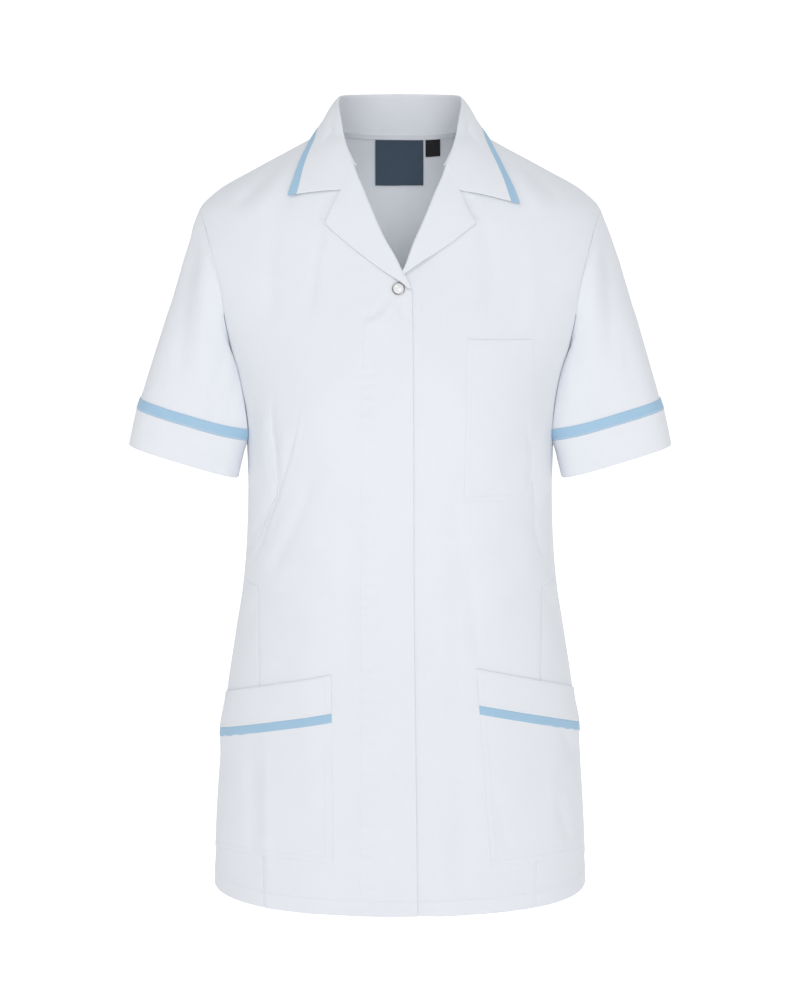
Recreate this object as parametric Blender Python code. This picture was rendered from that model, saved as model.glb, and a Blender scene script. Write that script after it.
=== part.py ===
"""Medical tunic with short sleeves, worn shape with no wearer inside.

Metres, +Z up. The wearer faces -Y and the wearer's left is at +X. The origin is
midway between the two neck ends of the shoulder seams.
"""
import math

import bpy

MM = 0.001

# Cloth walls and the gaps between them
WALL = 1.2 * MM
SEAM_GAP = 0.3 * MM
LAY_GAP = 0.6 * MM
DOUBLE_WALL = 1.8 * MM
TRIM_WALL = 1.0 * MM

# Heights on the body
SHOULDER_TIP_Z = -79 * MM
UNDERARM_Z = -235 * MM
BACK_NECK_Z = -10 * MM
SIDE_PANEL_TOP_Z = -445 * MM
# The neck opening ends above this height
NECK_FOOT_Z = -100 * MM

# The armhole is an ellipse seen from the side
ARMHOLE_HALF_DEPTH = 52 * MM
ARMHOLE_MIDDLE_Z = (SHOULDER_TIP_Z + UNDERARM_Z) / 2
ARMHOLE_REACH = (SHOULDER_TIP_Z - UNDERARM_Z) / 2

# Level sections of the body, in millimetres
# height, half width, front depth, back depth, roundness (2 is an ellipse)
SECTIONS = (
    (60, 46, 40, 60, 2.0),
    (20, 60, 44, 66, 2.0),
    (0, 71, 48, 69, 2.0),
    (-15, 97, 56, 73, 2.0),
    (-38, 140, 67, 82, 2.0),
    (-62, 181, 78, 91, 2.0),
    (-79, 197, 85, 96, 2.0),
    (-115, 206, 98, 104, 2.0),
    (-165, 192, 115, 110, 2.05),
    (-205, 175, 126, 112, 2.1),
    (-235, 163, 131, 112, 2.15),
    (-270, 156, 133, 110, 2.2),
    (-305, 152.5, 130, 106, 2.2),
    (-350, 151.5, 123, 101, 2.2),
    (-400, 153, 116, 98, 2.2),
    (-450, 157, 113, 100, 2.2),
    (-500, 165, 114, 106, 2.2),
    (-565, 175, 117, 115, 2.2),
    (-630, 182, 120, 121, 2.25),
    (-700, 187, 122, 124, 2.3),
    (-765, 190, 123, 126, 2.3),
)

# Fullness that the bust darts give: place, spread and height
BUST_X = 88 * MM
BUST_Z = -252 * MM
BUST_SPREAD = 52 * MM
BUST_RISE = 6 * MM

# Heights of the panels' rows, in millimetres
SHOULDER_ROWS = (-1, -6, -12, -18, -24, -31, -39, -47, -55, -63, -71, -79)
ARMHOLE_ROWS = (-82, -90, -102, -115, -127, -135, -145, -157, -170, -184, -198,
                -212, -224, -232, -235)
BODY_ROWS = (-255, -280, -310, -340, -372, -408, -445)
SKIRT_ROWS = (-480, -520, -560, -600, -640, -680, -722, -765)

# Columns in a front, in a side panel, and in half of the back below and beside the neck
FRONT_COLUMNS = 8
SIDE_COLUMNS = 3
BACK_NECK_COLUMNS = 4
BACK_SIDE_COLUMNS = 6

# Row of the back down to which its columns bend to the neck edge, in millimetres
NECK_BLOCK_Z = -24

# Neck edge of a front: height, distance from the middle of the neck opening
NECK_EDGE = ((-127, 3), (-113, 9.4), (-98, 17), (-84, 23.7), (-69, 30.5), (-54, 37), (-40, 44),
             (-25, 53), (-12, 63), (0, 71))
# The fold that the collar and the lapel share: height, distance
ROLL_LINE = ((-127, 0), (-113, 6.4), (-98, 14), (-84, 20.7), (-69, 27.4), (-54, 33.8), (-40, 40.4),
             (-25, 46))
NECK_SHIFT = 2.2 * MM
NECK_SHIFT_FROM_Z = -92 * MM
NECK_SHIFT_TO_Z = -122 * MM
# Front edges below the neck opening: height, distance past the middle
LAP_EDGE = ((-127, -2), (-134, -7), (-145, -11.5), (-200, -12.5), (-450, -13.5), (-765, -17.5))
UNDER_EDGE = ((-127, 5), (-134, -2), (-170, -36), (-765, -36))
# The under front dips below the lap, and comes level outside it
UNDER_DIP = -(WALL + LAY_GAP)
DIP_FROM_X = 20 * MM
DIP_TO_X = 42 * MM

# Upright seam between a front and its side panel: height, distance from the middle
UPRIGHT_SEAM = ((-445, 141), (-765, 136))

# Sleeve: ring where the cuff starts and ring at the cuff's hem
CUFF_TOP = {"x": 208.0, "y": -4.0, "z": -290.5, "half_width": 54.8, "half_depth": 46.0}
CUFF_HEM = {"x": 215.0, "y": -7.0, "z": -327.0, "half_width": 56.0, "half_depth": 46.0}
CUFF_SLOPE = math.radians(17.2)
CUFF_PITCH = math.radians(5.0)
# How strongly the sleeve keeps to the direction in which it leaves the armhole
START_PULL = 0.75
# The lower sleeve lies a little flatter than an ellipse, which is 2
SLEEVE_ROUNDNESS = 2.5
# The sleeve clears the body by this much from this share of its length on
BODY_CLEARANCE = 1.7 * MM
CLEAR_FROM = 0.12
SLEEVE_RINGS = 7
TRIM_HEIGHT = 10.5 * MM

# Directions in which the sleeve leaves the armhole: top, front and back, underarm
LEAVE_TOP = (0.42, 0.0, -0.91)
LEAVE_SIDE = (0.42, 0.24, -0.87)
LEAVE_UNDER = (0.06, 0.0, -1.0)

# Lapel, in millimetres: corners of its free edge by height and distance, tip by side,
# and the ends of its roll line
LAPEL_TOP = (-40, 51.5)
LAPEL_CORNER = (-83.5, 72.5)
LAPEL_TIPS = {-1: (-137, 1.5), 1: (-127.5, 5)}
ROLL_FOOT = {-1: -127, 1: -125.5}
ROLL_TOP = -32
# Places along the lapel from the tip, of which one is the corner, and across it from the roll
LAPEL_ALONG = (0, 0.12, 0.25, 0.4, 0.5, 0.6, 0.7, 0.8, 0.9, 1.0)
LAPEL_CORNER_AT = 0.6
LAPEL_ACROSS = (0, 0.06, 0.16, 0.34, 0.56, 0.78, 1.0)
# The roll stands up from the front, and lies down towards the collar
LAPEL_ROLL_RISE = 1.6 * MM
LAPEL_ROLL_SPREAD = 0.12
LAPEL_FADE_FROM = 0.7

# Collar stations from the back of the neck round to the front end, in millimetres
# fold: x, y, z; free edge: x, y, z; the free edge then rests on the body
COLLAR_STATIONS = (
    (0, 71, 30, 0, 84, -30),
    (20, 68.5, 30, 32, 82, -30),
    (38, 58, 30.5, 60, 72, -29),
    (51, 42, 31, 77, 48, -24),
    (58, 20, 31, 80.5, 20, -13),
    (59.5, -2, 26, 81.5, -4, -13),
    (57, -20, 14, 85, -20, -19),
    (54, -36, -2, 92.2, -34, -35),
    (49.5, -50, -17, 98.5, -45, -50),
    (44.5, -58, -30, 103.5, -52, -65.5),
)
# The left collar point lies further out and lower
LEFT_POINT_SHIFT = (6 * MM, 0.0, -8 * MM)
LEFT_POINT_FROM = 0.72
COLLAR_TRIM_WIDTH = 8.4 * MM
COLLAR_STEPS = 15
# Places across the collar: up the stand to the fold at 1, and shares of the fall to the trim
COLLAR_STAND = (0.0, 0.3, 0.62, 0.86, 1.0)
COLLAR_FALL = (0.09, 0.22, 0.4, 0.62, 0.82, 1.0)
# The stand bows in, and the fall arches over the back seam
STAND_BOW = 1.5 * MM
FALL_ARCH = 5 * MM
# Neck seam: share of the collar's run that is behind the shoulder, lowest front height,
# how far it ends inside the roll line, and the collar's gap above it
SEAM_SIDE_AT = 0.47
SEAM_FRONT_Z = -30 * MM
SEAM_INSIDE = 0.8
SEAM_LIFT = 1.1 * MM
# Front end of the collar: distance and height of the notch, its place along the end,
# and how far along the collar the end's bend starts
NOTCH = (55, -52.5)
NOTCH_AT = 0.22
NOTCH_FROM = 0.86
# Heights of the collar's middle above the body, and of its front end above the lapel
COLLAR_REST = 2.7 * MM
GORGE_REST = 3.4 * MM
GORGE_FROM = 0.8

# Pocket corners on the body, in millimetres: distance from the middle and height
CHEST_POCKET = {"top_in": (64, -190), "top_out": (127.5, -194),
                "low_in": (61.5, -349), "low_out": (129.5, -351)}
CHEST_ROWS = 10
CHEST_COLUMNS = 5
# A hip pocket's outer end is at the side, so only its height is given there
HIP_POCKETS = {
    "right": {"top_in": (67, -523), "top_out": -566,
              "low_in": (66, -711), "low_out": -729, "band": 37.5},
    "left": {"top_in": (74.5, -517), "top_out": -562,
             "low_in": (90, -717), "low_out": -736, "band": 36.0},
}
HIP_ROWS = 8
HIP_STRIP_ROWS = 2
HIP_COLUMNS = 10
HIP_TRIM = 9.0
HIP_SIDE_Y = 6 * MM
# The pocket's mouth stands off the side of the body a little
MOUTH_RISE = 3.5 * MM
MOUTH_SPREAD = 24

# Stud at the foot of the neck opening
STUD_X = -1.5 * MM
STUD_Z = -142.8 * MM
STUD_RADIUS = 6.2 * MM
STUD_CAP_RADIUS = 4.9 * MM
STUD_RING_HEIGHT = 1.6 * MM
STUD_CAP_HEIGHT = 1.6 * MM
STUD_EDGE = 0.4 * MM
STUD_SIDES = 28

# Labels inside the back neck, in millimetres
TAPE_HALF = 52
TAPE_HEIGHT = 4.8
INSIDE_GAP = 0.9 * MM
LABEL = {"x": -0.8, "half_width": 24.4, "height": 46.5}
SIZE_TAB = {"x": 33.2, "half_width": 7.4, "height": 18}


def smooth(table, at):
    """Value of a table of (place, value) read as a curve that doesn't overshoot."""
    rows = sorted(table)
    places = [row[0] for row in rows]
    values = [row[1] for row in rows]
    if at <= places[0]:
        return values[0]
    if at >= places[-1]:
        return values[-1]
    steps = [b - a for a, b in zip(places, places[1:])]
    slopes = [(b - a) / step for a, b, step in zip(values, values[1:], steps)]
    tangents = [slopes[0]]
    for before, after in zip(slopes, slopes[1:]):
        same_way = before * after > 0
        tangents.append(2 * before * after / (before + after) if same_way else 0.0)
    tangents.append(slopes[-1])
    k = max(i for i, place in enumerate(places[:-1]) if place <= at)
    t = (at - places[k]) / steps[k]
    rise = values[k + 1] - values[k]
    bend_in = tangents[k] * steps[k]
    bend_out = tangents[k + 1] * steps[k]
    return (values[k] + bend_in * t
            + (3 * rise - 2 * bend_in - bend_out) * t ** 2
            + (bend_in + bend_out - 2 * rise) * t ** 3)


def straight(table, at):
    """Value of a table of (place, value) read as straight runs."""
    rows = sorted(table)
    if at <= rows[0][0]:
        return rows[0][1]
    for (a, left), (b, right) in zip(rows, rows[1:]):
        if at <= b:
            return left + (right - left) * (at - a) / (b - a)
    return rows[-1][1]


def ease(t):
    """0 up to t 0, 1 from t 1 on, and a smooth rise between."""
    t = min(max(t, 0.0), 1.0)
    return t * t * (3 - 2 * t)


def add(p, q, scale=1.0):
    """p with a multiple of q added."""
    return tuple(a + scale * b for a, b in zip(p, q))


def mix(p, q, t):
    return tuple(a + (b - a) * t for a, b in zip(p, q))


def cross(p, q):
    return (p[1] * q[2] - p[2] * q[1], p[2] * q[0] - p[0] * q[2], p[0] * q[1] - p[1] * q[0])


def dot(p, q):
    return sum(a * b for a, b in zip(p, q))


def unit(p):
    length = math.sqrt(dot(p, p))
    return tuple(a / length for a in p)


SECTION_CURVES = [[(row[0], row[column]) for row in SECTIONS] for column in range(1, 5)]
SECTION_CACHE = {}


def section(z):
    """Half width, front depth, back depth and roundness of the body at a height."""
    key = round(z, 7)
    if key not in SECTION_CACHE:
        half, front, back, roundness = (smooth(curve, z / MM) for curve in SECTION_CURVES)
        SECTION_CACHE[key] = (half * MM, front * MM, back * MM, roundness)
    return SECTION_CACHE[key]


def form(turn, z):
    """Point of the body's outer face. turn is 0 at the front, a quarter turn at +X."""
    half, front, back, roundness = section(z)
    across, along = math.sin(turn), math.cos(turn)
    x = math.copysign(abs(across) ** (2 / roundness), across) * half
    depth = front if along > 0 else back
    y = -math.copysign(abs(along) ** (2 / roundness), along) * depth
    if along > 0:
        away = ((abs(x) - BUST_X) / BUST_SPREAD) ** 2 + ((z - BUST_Z) / BUST_SPREAD) ** 2
        y -= BUST_RISE * math.exp(-away) * along
    return (x, y, z)


def form_normal(turn, z):
    """Direction square to the form, pointing away from the body."""
    small_turn, small_z = 1e-3, 2e-4
    around = add(form(turn + small_turn, z), form(turn - small_turn, z), -1)
    upward = add(form(turn, z + small_z), form(turn, z - small_z), -1)
    return unit(cross(around, upward))


def on_form(turn, z, lift=0.0):
    return add(form(turn, z), form_normal(turn, z), lift)


def turn_at_x(z, x):
    """Turn from the front at which the form is x across."""
    half, _, _, roundness = section(z)
    return math.copysign(math.asin(min(abs(x) / half, 1.0) ** (roundness / 2)), x)


def turn_at_y(z, y):
    """Turn from the nearer of the front and the back where the depth is y."""
    _, front, back, roundness = section(z)
    depth = front if y < 0 else back
    return math.acos(min(abs(y) / depth, 1.0) ** (roundness / 2))


class Cloth:
    """A closed wall of cloth, from points on its outer and inner faces."""

    def __init__(self):
        self.index = {}
        self.outer = []
        self.inner = []
        self.faces = []

    def point(self, outer, inner):
        """Number of a point, kept once however many faces use it."""
        key = tuple(round(value, 6) for value in outer)
        if key not in self.index:
            self.index[key] = len(self.outer)
            self.outer.append(outer)
            self.inner.append(inner)
        return self.index[key]

    def grid(self, rows):
        """Faces between rows of (outer, inner) pairs of equal length."""
        numbers = [[self.point(*pair) for pair in row] for row in rows]
        for low, high in zip(numbers, numbers[1:]):
            for a, b, c, d in zip(low, low[1:], high[1:], high):
                corners = list(dict.fromkeys((a, b, c, d)))
                if len(corners) > 2:
                    self.faces.append(corners)

    def build(self, name, material):
        """Add both faces, and walls along the open edges."""
        count = len(self.outer)
        faces = [list(face) for face in self.faces]
        faces += [[count + i for i in reversed(face)] for face in self.faces]
        edges = {}
        for face in self.faces:
            for a, b in zip(face, face[1:] + face[:1]):
                edges[(a, b)] = True
        for a, b in edges:
            if (b, a) not in edges:
                faces.append([b, a, count + a, count + b])
        add_object(name, self.outer + self.inner, faces, material)


def add_object(name, points, faces, material):
    """A mesh object with its faces turned outwards."""
    mesh = bpy.data.meshes.new(name)
    mesh.from_pydata(points, [], faces)
    mesh.validate()
    if volume(mesh) < 0:
        mesh.flip_normals()
    mesh.materials.append(material)
    mesh.shade_smooth()
    mesh.set_sharp_from_angle(angle=math.radians(50))
    piece = bpy.data.objects.new(name, mesh)
    bpy.context.scene.collection.objects.link(piece)


def volume(mesh):
    """Signed volume of a closed mesh."""
    total = 0.0
    for face in mesh.polygons:
        corners = [tuple(mesh.vertices[i].co) for i in face.vertices]
        for second, third in zip(corners[1:], corners[2:]):
            total += dot(corners[0], cross(second, third)) / 6
    return total


def material(name, colour, roughness, metallic=0.0):
    """A plain material."""
    made = bpy.data.materials.new(name)
    made.use_nodes = True
    shader = made.node_tree.nodes["Principled BSDF"]
    shader.inputs["Base Color"].default_value = (*colour, 1.0)
    shader.inputs["Roughness"].default_value = roughness
    shader.inputs["Metallic"].default_value = metallic
    return made


def armhole_y(z):
    """Half depth of the armhole at a height, or 0 outside its range."""
    up = (z - ARMHOLE_MIDDLE_Z) / ARMHOLE_REACH
    return ARMHOLE_HALF_DEPTH * math.sqrt(max(0.0, 1 - up * up))


def side_turn(z, facing):
    """Turn of the panel's side edge: side seam, armhole or shoulder seam."""
    y = max(armhole_y(z), SEAM_GAP / 2)
    return turn_at_y(z, -y if facing == "front" else y)


def neck_shift(z, side):
    """The foot of the neck opening lies a little to the wearer's left of the middle."""
    share = (NECK_SHIFT_FROM_Z - z) / (NECK_SHIFT_FROM_Z - NECK_SHIFT_TO_Z)
    return NECK_SHIFT * side * ease(share)


def front_inner(z, side):
    """Distance of a front's inner edge on its own side of the middle."""
    height = z / MM
    if height >= NECK_EDGE[0][0]:
        return smooth(NECK_EDGE, height) * MM + neck_shift(z, side)
    return straight(UNDER_EDGE if side > 0 else LAP_EDGE, height) * MM


def under_lift(x):
    """How far the under front lies below the form, near the lap."""
    return UNDER_DIP * (1 - ease((x - DIP_FROM_X) / (DIP_TO_X - DIP_FROM_X)))


def wall_pair(turn, z, side, top=0.0, wall=WALL):
    """Points of a wall's outer and inner faces. top is the outer face's height above the form."""
    outer = on_form(turn * side, z, top)
    inner = on_form(turn * side, z, top - wall)
    return outer, inner


def upright_seam(z):
    """Turn of the seam between a front and its side panel."""
    return turn_at_x(z, straight(UPRIGHT_SEAM, z / MM) * MM)


def front_pair(turn, z, side):
    """The under front dips below the lap."""
    dips = side > 0 and z < NECK_FOOT_Z
    top = under_lift(form(turn, z)[0]) if dips else 0.0
    return wall_pair(turn, z, side, top)


def front(name, side, cloth):
    """A front panel: its main part down to the hem, and its outside above the side panel."""
    piece = Cloth()
    seam_z = SIDE_PANEL_TOP_Z
    start = turn_at_x(seam_z, front_inner(seam_z, side))
    share = (upright_seam(seam_z) - start) / (side_turn(seam_z, "front") - start)
    main, outside = [], []
    for height in SHOULDER_ROWS + ARMHOLE_ROWS + BODY_ROWS + SKIRT_ROWS:
        z = height * MM
        edge = turn_at_x(z, front_inner(z, side))
        end = side_turn(z, "front")
        guide = edge + (end - edge) * share
        if z < seam_z:
            guide = upright_seam(z) - SEAM_GAP / 2 / section(z)[1]
        elif math.isclose(z, seam_z):
            z = seam_z + SEAM_GAP / 2
        main.append([front_pair(edge + (guide - edge) * i / FRONT_COLUMNS, z, side)
                     for i in range(FRONT_COLUMNS + 1)])
        if z >= seam_z:
            outside.append([front_pair(guide + (end - guide) * i / SIDE_COLUMNS, z, side)
                            for i in range(SIDE_COLUMNS + 1)])
    piece.grid(main)
    piece.grid(outside)
    piece.build(name, cloth)


def side_panel(name, side, cloth):
    """The panel between a front's upright seam and the side seam."""
    piece = Cloth()
    rows = []
    for height in (SIDE_PANEL_TOP_Z / MM,) + SKIRT_ROWS:
        z = height * MM
        if z >= SIDE_PANEL_TOP_Z:
            z -= SEAM_GAP / 2
        start = upright_seam(z) + SEAM_GAP / 2 / section(z)[1]
        end = side_turn(z, "front")
        rows.append([wall_pair(start + (end - start) * i / SIDE_COLUMNS, z, side)
                     for i in range(SIDE_COLUMNS + 1)])
    piece.grid(rows)
    piece.build(name, cloth)


def back_neck_z(x):
    """Height of the back neck edge, which dips to its middle."""
    return BACK_NECK_Z * (1 - (x / section(0.0)[0]) ** 3)


def back(cloth):
    """The back panel: columns below the neck, and columns below the shoulder on each side."""
    piece = Cloth()
    neck_half = section(0.0)[0] - SEAM_GAP
    for side in (-1, 1):
        neck_rows, side_rows = [], []
        for height in SHOULDER_ROWS + ARMHOLE_ROWS + BODY_ROWS + SKIRT_ROWS:
            z = height * MM
            neck_row = []
            for i in range(BACK_NECK_COLUMNS + 1):
                x = neck_half * i / BACK_NECK_COLUMNS
                here = z
                if height > NECK_BLOCK_Z:
                    share = (height - NECK_BLOCK_Z) / (SHOULDER_ROWS[0] - NECK_BLOCK_Z)
                    top = back_neck_z(x) + SHOULDER_ROWS[0] * MM
                    here = NECK_BLOCK_Z * MM + (top - NECK_BLOCK_Z * MM) * share
                neck_row.append(wall_pair(math.pi - turn_at_x(here, x), here, side))
            start = turn_at_x(z, neck_half)
            step = (side_turn(z, "back") - start) / BACK_SIDE_COLUMNS
            side_row = [wall_pair(math.pi - start - step * i, z, side)
                        for i in range(BACK_SIDE_COLUMNS + 1)]
            neck_rows.append(neck_row[::side])
            side_rows.append(side_row[::side])
        piece.grid(neck_rows)
        piece.grid(side_rows)
    piece.build("back", cloth)


def armhole_point(z, facing):
    """Point of the armhole's edge on the form, for side +1."""
    y = armhole_y(z)
    turn = turn_at_y(z, -y if facing == "front" else y)
    if facing == "back":
        turn = math.pi - turn
    return form(turn, z)


def sleeve_columns():
    """Points round the armhole and their angle round the sleeve, top to front to under to back."""
    heights = [SHOULDER_ROWS[-1]] + list(ARMHOLE_ROWS)
    columns = []
    for facing, order in (("front", heights[:-1]), ("back", heights[:0:-1])):
        for height in order:
            z = height * MM
            up = (z - ARMHOLE_MIDDLE_Z) / ARMHOLE_REACH
            angle = math.acos(max(-1.0, min(1.0, up)))
            if facing == "back":
                angle = 2 * math.pi - angle
            columns.append((angle, armhole_point(z, facing)))
    return columns


SLEEVE_OUT = (math.cos(CUFF_SLOPE), 0.0, math.sin(CUFF_SLOPE))
SLEEVE_FORWARD = (0.0, -math.cos(CUFF_PITCH), math.sin(CUFF_PITCH))
SLEEVE_AXIS = unit((math.sin(CUFF_SLOPE), -math.sin(CUFF_PITCH), -math.cos(CUFF_SLOPE)))


def sleeve_ring(ring, angle):
    """Point of a ring about square to the lower sleeve."""
    centre = (ring["x"] * MM, ring["y"] * MM, ring["z"] * MM)
    across, along = (math.copysign(abs(value) ** (2 / SLEEVE_ROUNDNESS), value)
                     for value in (math.cos(angle), math.sin(angle)))
    point = add(centre, SLEEVE_OUT, ring["half_width"] * MM * across)
    return add(point, SLEEVE_FORWARD, ring["half_depth"] * MM * along)


def leave(angle):
    """Direction in which the sleeve leaves the armhole."""
    over, across = math.cos(angle), math.sin(angle)
    side = (LEAVE_SIDE[0], -LEAVE_SIDE[1] * across, LEAVE_SIDE[2])
    end = LEAVE_TOP if over > 0 else LEAVE_UNDER
    return unit(mix(side, end, over * over))


def sleeve_point(angle, start, t):
    """Point of the sleeve's outer face from the armhole (t 0) to the cuff (t 1)."""
    end = sleeve_ring(CUFF_TOP, angle)
    away = leave(angle)
    start = add(start, away, SEAM_GAP)
    length = math.dist(start, end)
    h00 = 2 * t ** 3 - 3 * t ** 2 + 1
    h10 = t ** 3 - 2 * t ** 2 + t
    h01 = -2 * t ** 3 + 3 * t ** 2
    h11 = t ** 3 - t ** 2
    point = tuple(h00 * a + h01 * b for a, b in zip(start, end))
    point = add(point, away, h10 * length * START_PULL)
    point = add(point, SLEEVE_AXIS, h11 * length)
    return pushed_out(point, BODY_CLEARANCE * ease(t / CLEAR_FROM))


def tube_rows(columns, surface, steps, top=0.0, wall=WALL):
    """Rows of a closed tube for side +1, offset from a surface by its own normals."""
    count = len(columns)
    rows = []
    for t in steps:
        ring = [surface(angle, start, t) for angle, start in columns]
        ahead = [surface(angle, start, t + 0.01) for angle, start in columns]
        behind = [surface(angle, start, t - 0.01) for angle, start in columns]
        row = []
        for i in range(count):
            around = add(ring[(i + 1) % count], ring[i - 1], -1)
            along = add(ahead[i], behind[i], -1)
            normal = unit(cross(around, along))
            row.append((add(ring[i], normal, top), add(ring[i], normal, top - wall)))
        rows.append(row + row[:1])
    return rows


def mirrored(rows, side):
    """Rows of pairs, mirrored to the wearer's right when side is -1."""
    return [[tuple((p[0] * side, p[1], p[2]) for p in pair) for pair in row] for row in rows]


def trim_surface(angle, start, t):
    """Point of the sleeve under the trim strip, from its upper edge (t 0) to the cuff (t 1)."""
    length = math.dist(start, sleeve_ring(CUFF_TOP, angle))
    return sleeve_point(angle, start, 1 - TRIM_HEIGHT / length * (1 - t))


def cuff_surface(angle, start, t):
    """Point of the cuff between its top (t 0) and its hem (t 1)."""
    low = sleeve_ring(CUFF_HEM, angle)
    high = add(sleeve_ring(CUFF_TOP, angle), SLEEVE_AXIS, SEAM_GAP)
    return mix(high, low, t)


def sleeve(side, word, cloth, blue):
    """A sleeve, its cuff band and the trim strip above the cuff."""
    columns = sleeve_columns()
    body = Cloth()
    steps = [i / SLEEVE_RINGS for i in range(SLEEVE_RINGS + 1)]
    body.grid(mirrored(tube_rows(columns, sleeve_point, steps), side))
    body.build(f"sleeve_{word}", cloth)

    cuff = Cloth()
    cuff.grid(mirrored(tube_rows(columns, cuff_surface, (0.0, 0.5, 1.0),
                                 top=DOUBLE_WALL - WALL, wall=DOUBLE_WALL), side))
    cuff.build(f"cuff_{word}", cloth)

    trim = Cloth()
    trim.grid(mirrored(tube_rows(columns, trim_surface, (0.0, 0.5, 1.0),
                                 top=SEAM_GAP + TRIM_WALL, wall=TRIM_WALL), side))
    trim.build(f"cuff_trim_{word}", blue)


def lay(name, corner_rows, side, cloth, gap=LAY_GAP, wall=WALL, rise=None):
    """A piece that lies on the form, from rows of (turn, z)."""
    piece = Cloth()
    rows = []
    for j, row in enumerate(corner_rows):
        pairs = []
        for i, (turn, z) in enumerate(row):
            lift = gap + (rise(i, j) if rise else 0.0)
            pairs.append(wall_pair(turn, z, side, lift + wall, wall))
        rows.append(pairs)
    piece.grid(rows)
    piece.build(name, cloth)


def lapel(side, word, cloth):
    """The folded-back top of a front, from the roll line to its free edge."""
    rows = []
    for along in LAPEL_ALONG:
        roll_z = ROLL_FOOT[side] + (ROLL_TOP - ROLL_FOOT[side]) * along
        roll = (roll_z, smooth(ROLL_LINE, roll_z))
        if along <= LAPEL_CORNER_AT:
            free = mix(LAPEL_TIPS[side], LAPEL_CORNER, along / LAPEL_CORNER_AT)
        else:
            free = mix(LAPEL_CORNER, LAPEL_TOP,
                       (along - LAPEL_CORNER_AT) / (1 - LAPEL_CORNER_AT))
        row = []
        for across in LAPEL_ACROSS:
            height, away = mix(roll, free, across)
            z = height * MM
            row.append((turn_at_x(z, away * MM + neck_shift(z, side)), z))
        rows.append(row)

    def rise(i, j):
        if j == 0:
            return 0.0
        fade = 1 - ease((LAPEL_ALONG[j] - LAPEL_FADE_FROM) / (1 - LAPEL_FADE_FROM))
        return LAPEL_ROLL_RISE * fade * math.exp(-(LAPEL_ACROSS[i] / LAPEL_ROLL_SPREAD) ** 2)

    lay(f"lapel_{word}", rows, side, cloth, rise=rise)


def pushed_out(point, rest):
    """The point, moved out along the form's normal until it clears the form by rest."""
    x, y, z = point
    half, front_depth, back_depth, roundness = section(z)
    depth = front_depth if y < 0 else back_depth
    across = (abs(x) / half) ** (roundness / 2)
    along = (abs(y) / depth) ** (roundness / 2)
    turn = math.atan2(across, along)
    if y > 0:
        turn = math.pi - turn
    turn = math.copysign(turn, x)
    normal = form_normal(turn, z)
    apart = dot(add(point, form(turn, z), -1), normal)
    return add(point, normal, max(0.0, rest - apart))


def collar_station(s, side):
    """Fold and free edge at a place s from 0 (back) to 1 (front)."""
    count = len(COLLAR_STATIONS) - 1
    values = [smooth([(i / count, row[k]) for i, row in enumerate(COLLAR_STATIONS)], s) * MM
              for k in range(6)]
    fold, free = tuple(values[:3]), tuple(values[3:])
    if side > 0:
        free = add(free, LEFT_POINT_SHIFT, ease((s - LEFT_POINT_FROM) / (1 - LEFT_POINT_FROM)))
    if s > GORGE_FROM:
        fold = pushed_out(fold, GORGE_REST * ease((s - GORGE_FROM) / (1 - GORGE_FROM)))
    return fold, pushed_out(free, COLLAR_REST)


def neck_seam(s):
    """Point of the neck seam on the form, from the back (s 0) to the front end (s 1)."""
    if s <= SEAM_SIDE_AT:
        x = section(0.0)[0] * math.sin(s / SEAM_SIDE_AT * math.pi / 2)
        z = back_neck_z(x)
        turn = math.pi - turn_at_x(z, x)
    else:
        z = SEAM_FRONT_Z * ((s - SEAM_SIDE_AT) / (1 - SEAM_SIDE_AT)) ** 1.3
        inside = smooth(ROLL_LINE, z / MM) - SEAM_INSIDE
        away = smooth(NECK_EDGE, z / MM)
        away += (inside - away) * ease((s - 0.7) / 0.3)
        turn = turn_at_x(z, away * MM)
    return add(form(turn, z), form_normal(turn, z), -WALL / 2)


def collar_mid(s, path, side):
    """Point of the collar's middle face. path: 0 neck seam, 1 fold, 3 free edge."""
    fold, free = collar_station(s, side)
    seam = neck_seam(s)
    seam = add(seam, unit(add(fold, seam, -1)), SEAM_LIFT)
    if path <= 1:
        inward = unit((-fold[0], -fold[1], 0.0))
        return add(mix(seam, fold, path), inward, STAND_BOW * math.sin(math.pi * path))
    t = (path - 1) / 2
    point = mix(fold, free, t)
    if s > NOTCH_FROM:
        notch_z = NOTCH[1] * MM
        notch = form(turn_at_x(notch_z, NOTCH[0] * MM), notch_z)
        if t < NOTCH_AT:
            bent = mix(fold, notch, t / NOTCH_AT)
        else:
            bent = mix(notch, free, (t - NOTCH_AT) / (1 - NOTCH_AT))
        point = mix(point, bent, ease((s - NOTCH_FROM) / (1 - NOTCH_FROM)))
    arch = FALL_ARCH * math.sin(math.pi * min(t * 1.6, 1.0)) * (1 - ease(s))
    return pushed_out(add(point, (0, 0, arch)), COLLAR_REST)


def trim_path(s, side):
    """Place on the collar's path where the blue trim starts."""
    fold, free = collar_station(s, side)
    return 3 - 2 * COLLAR_TRIM_WIDTH / math.dist(fold, free)


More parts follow.
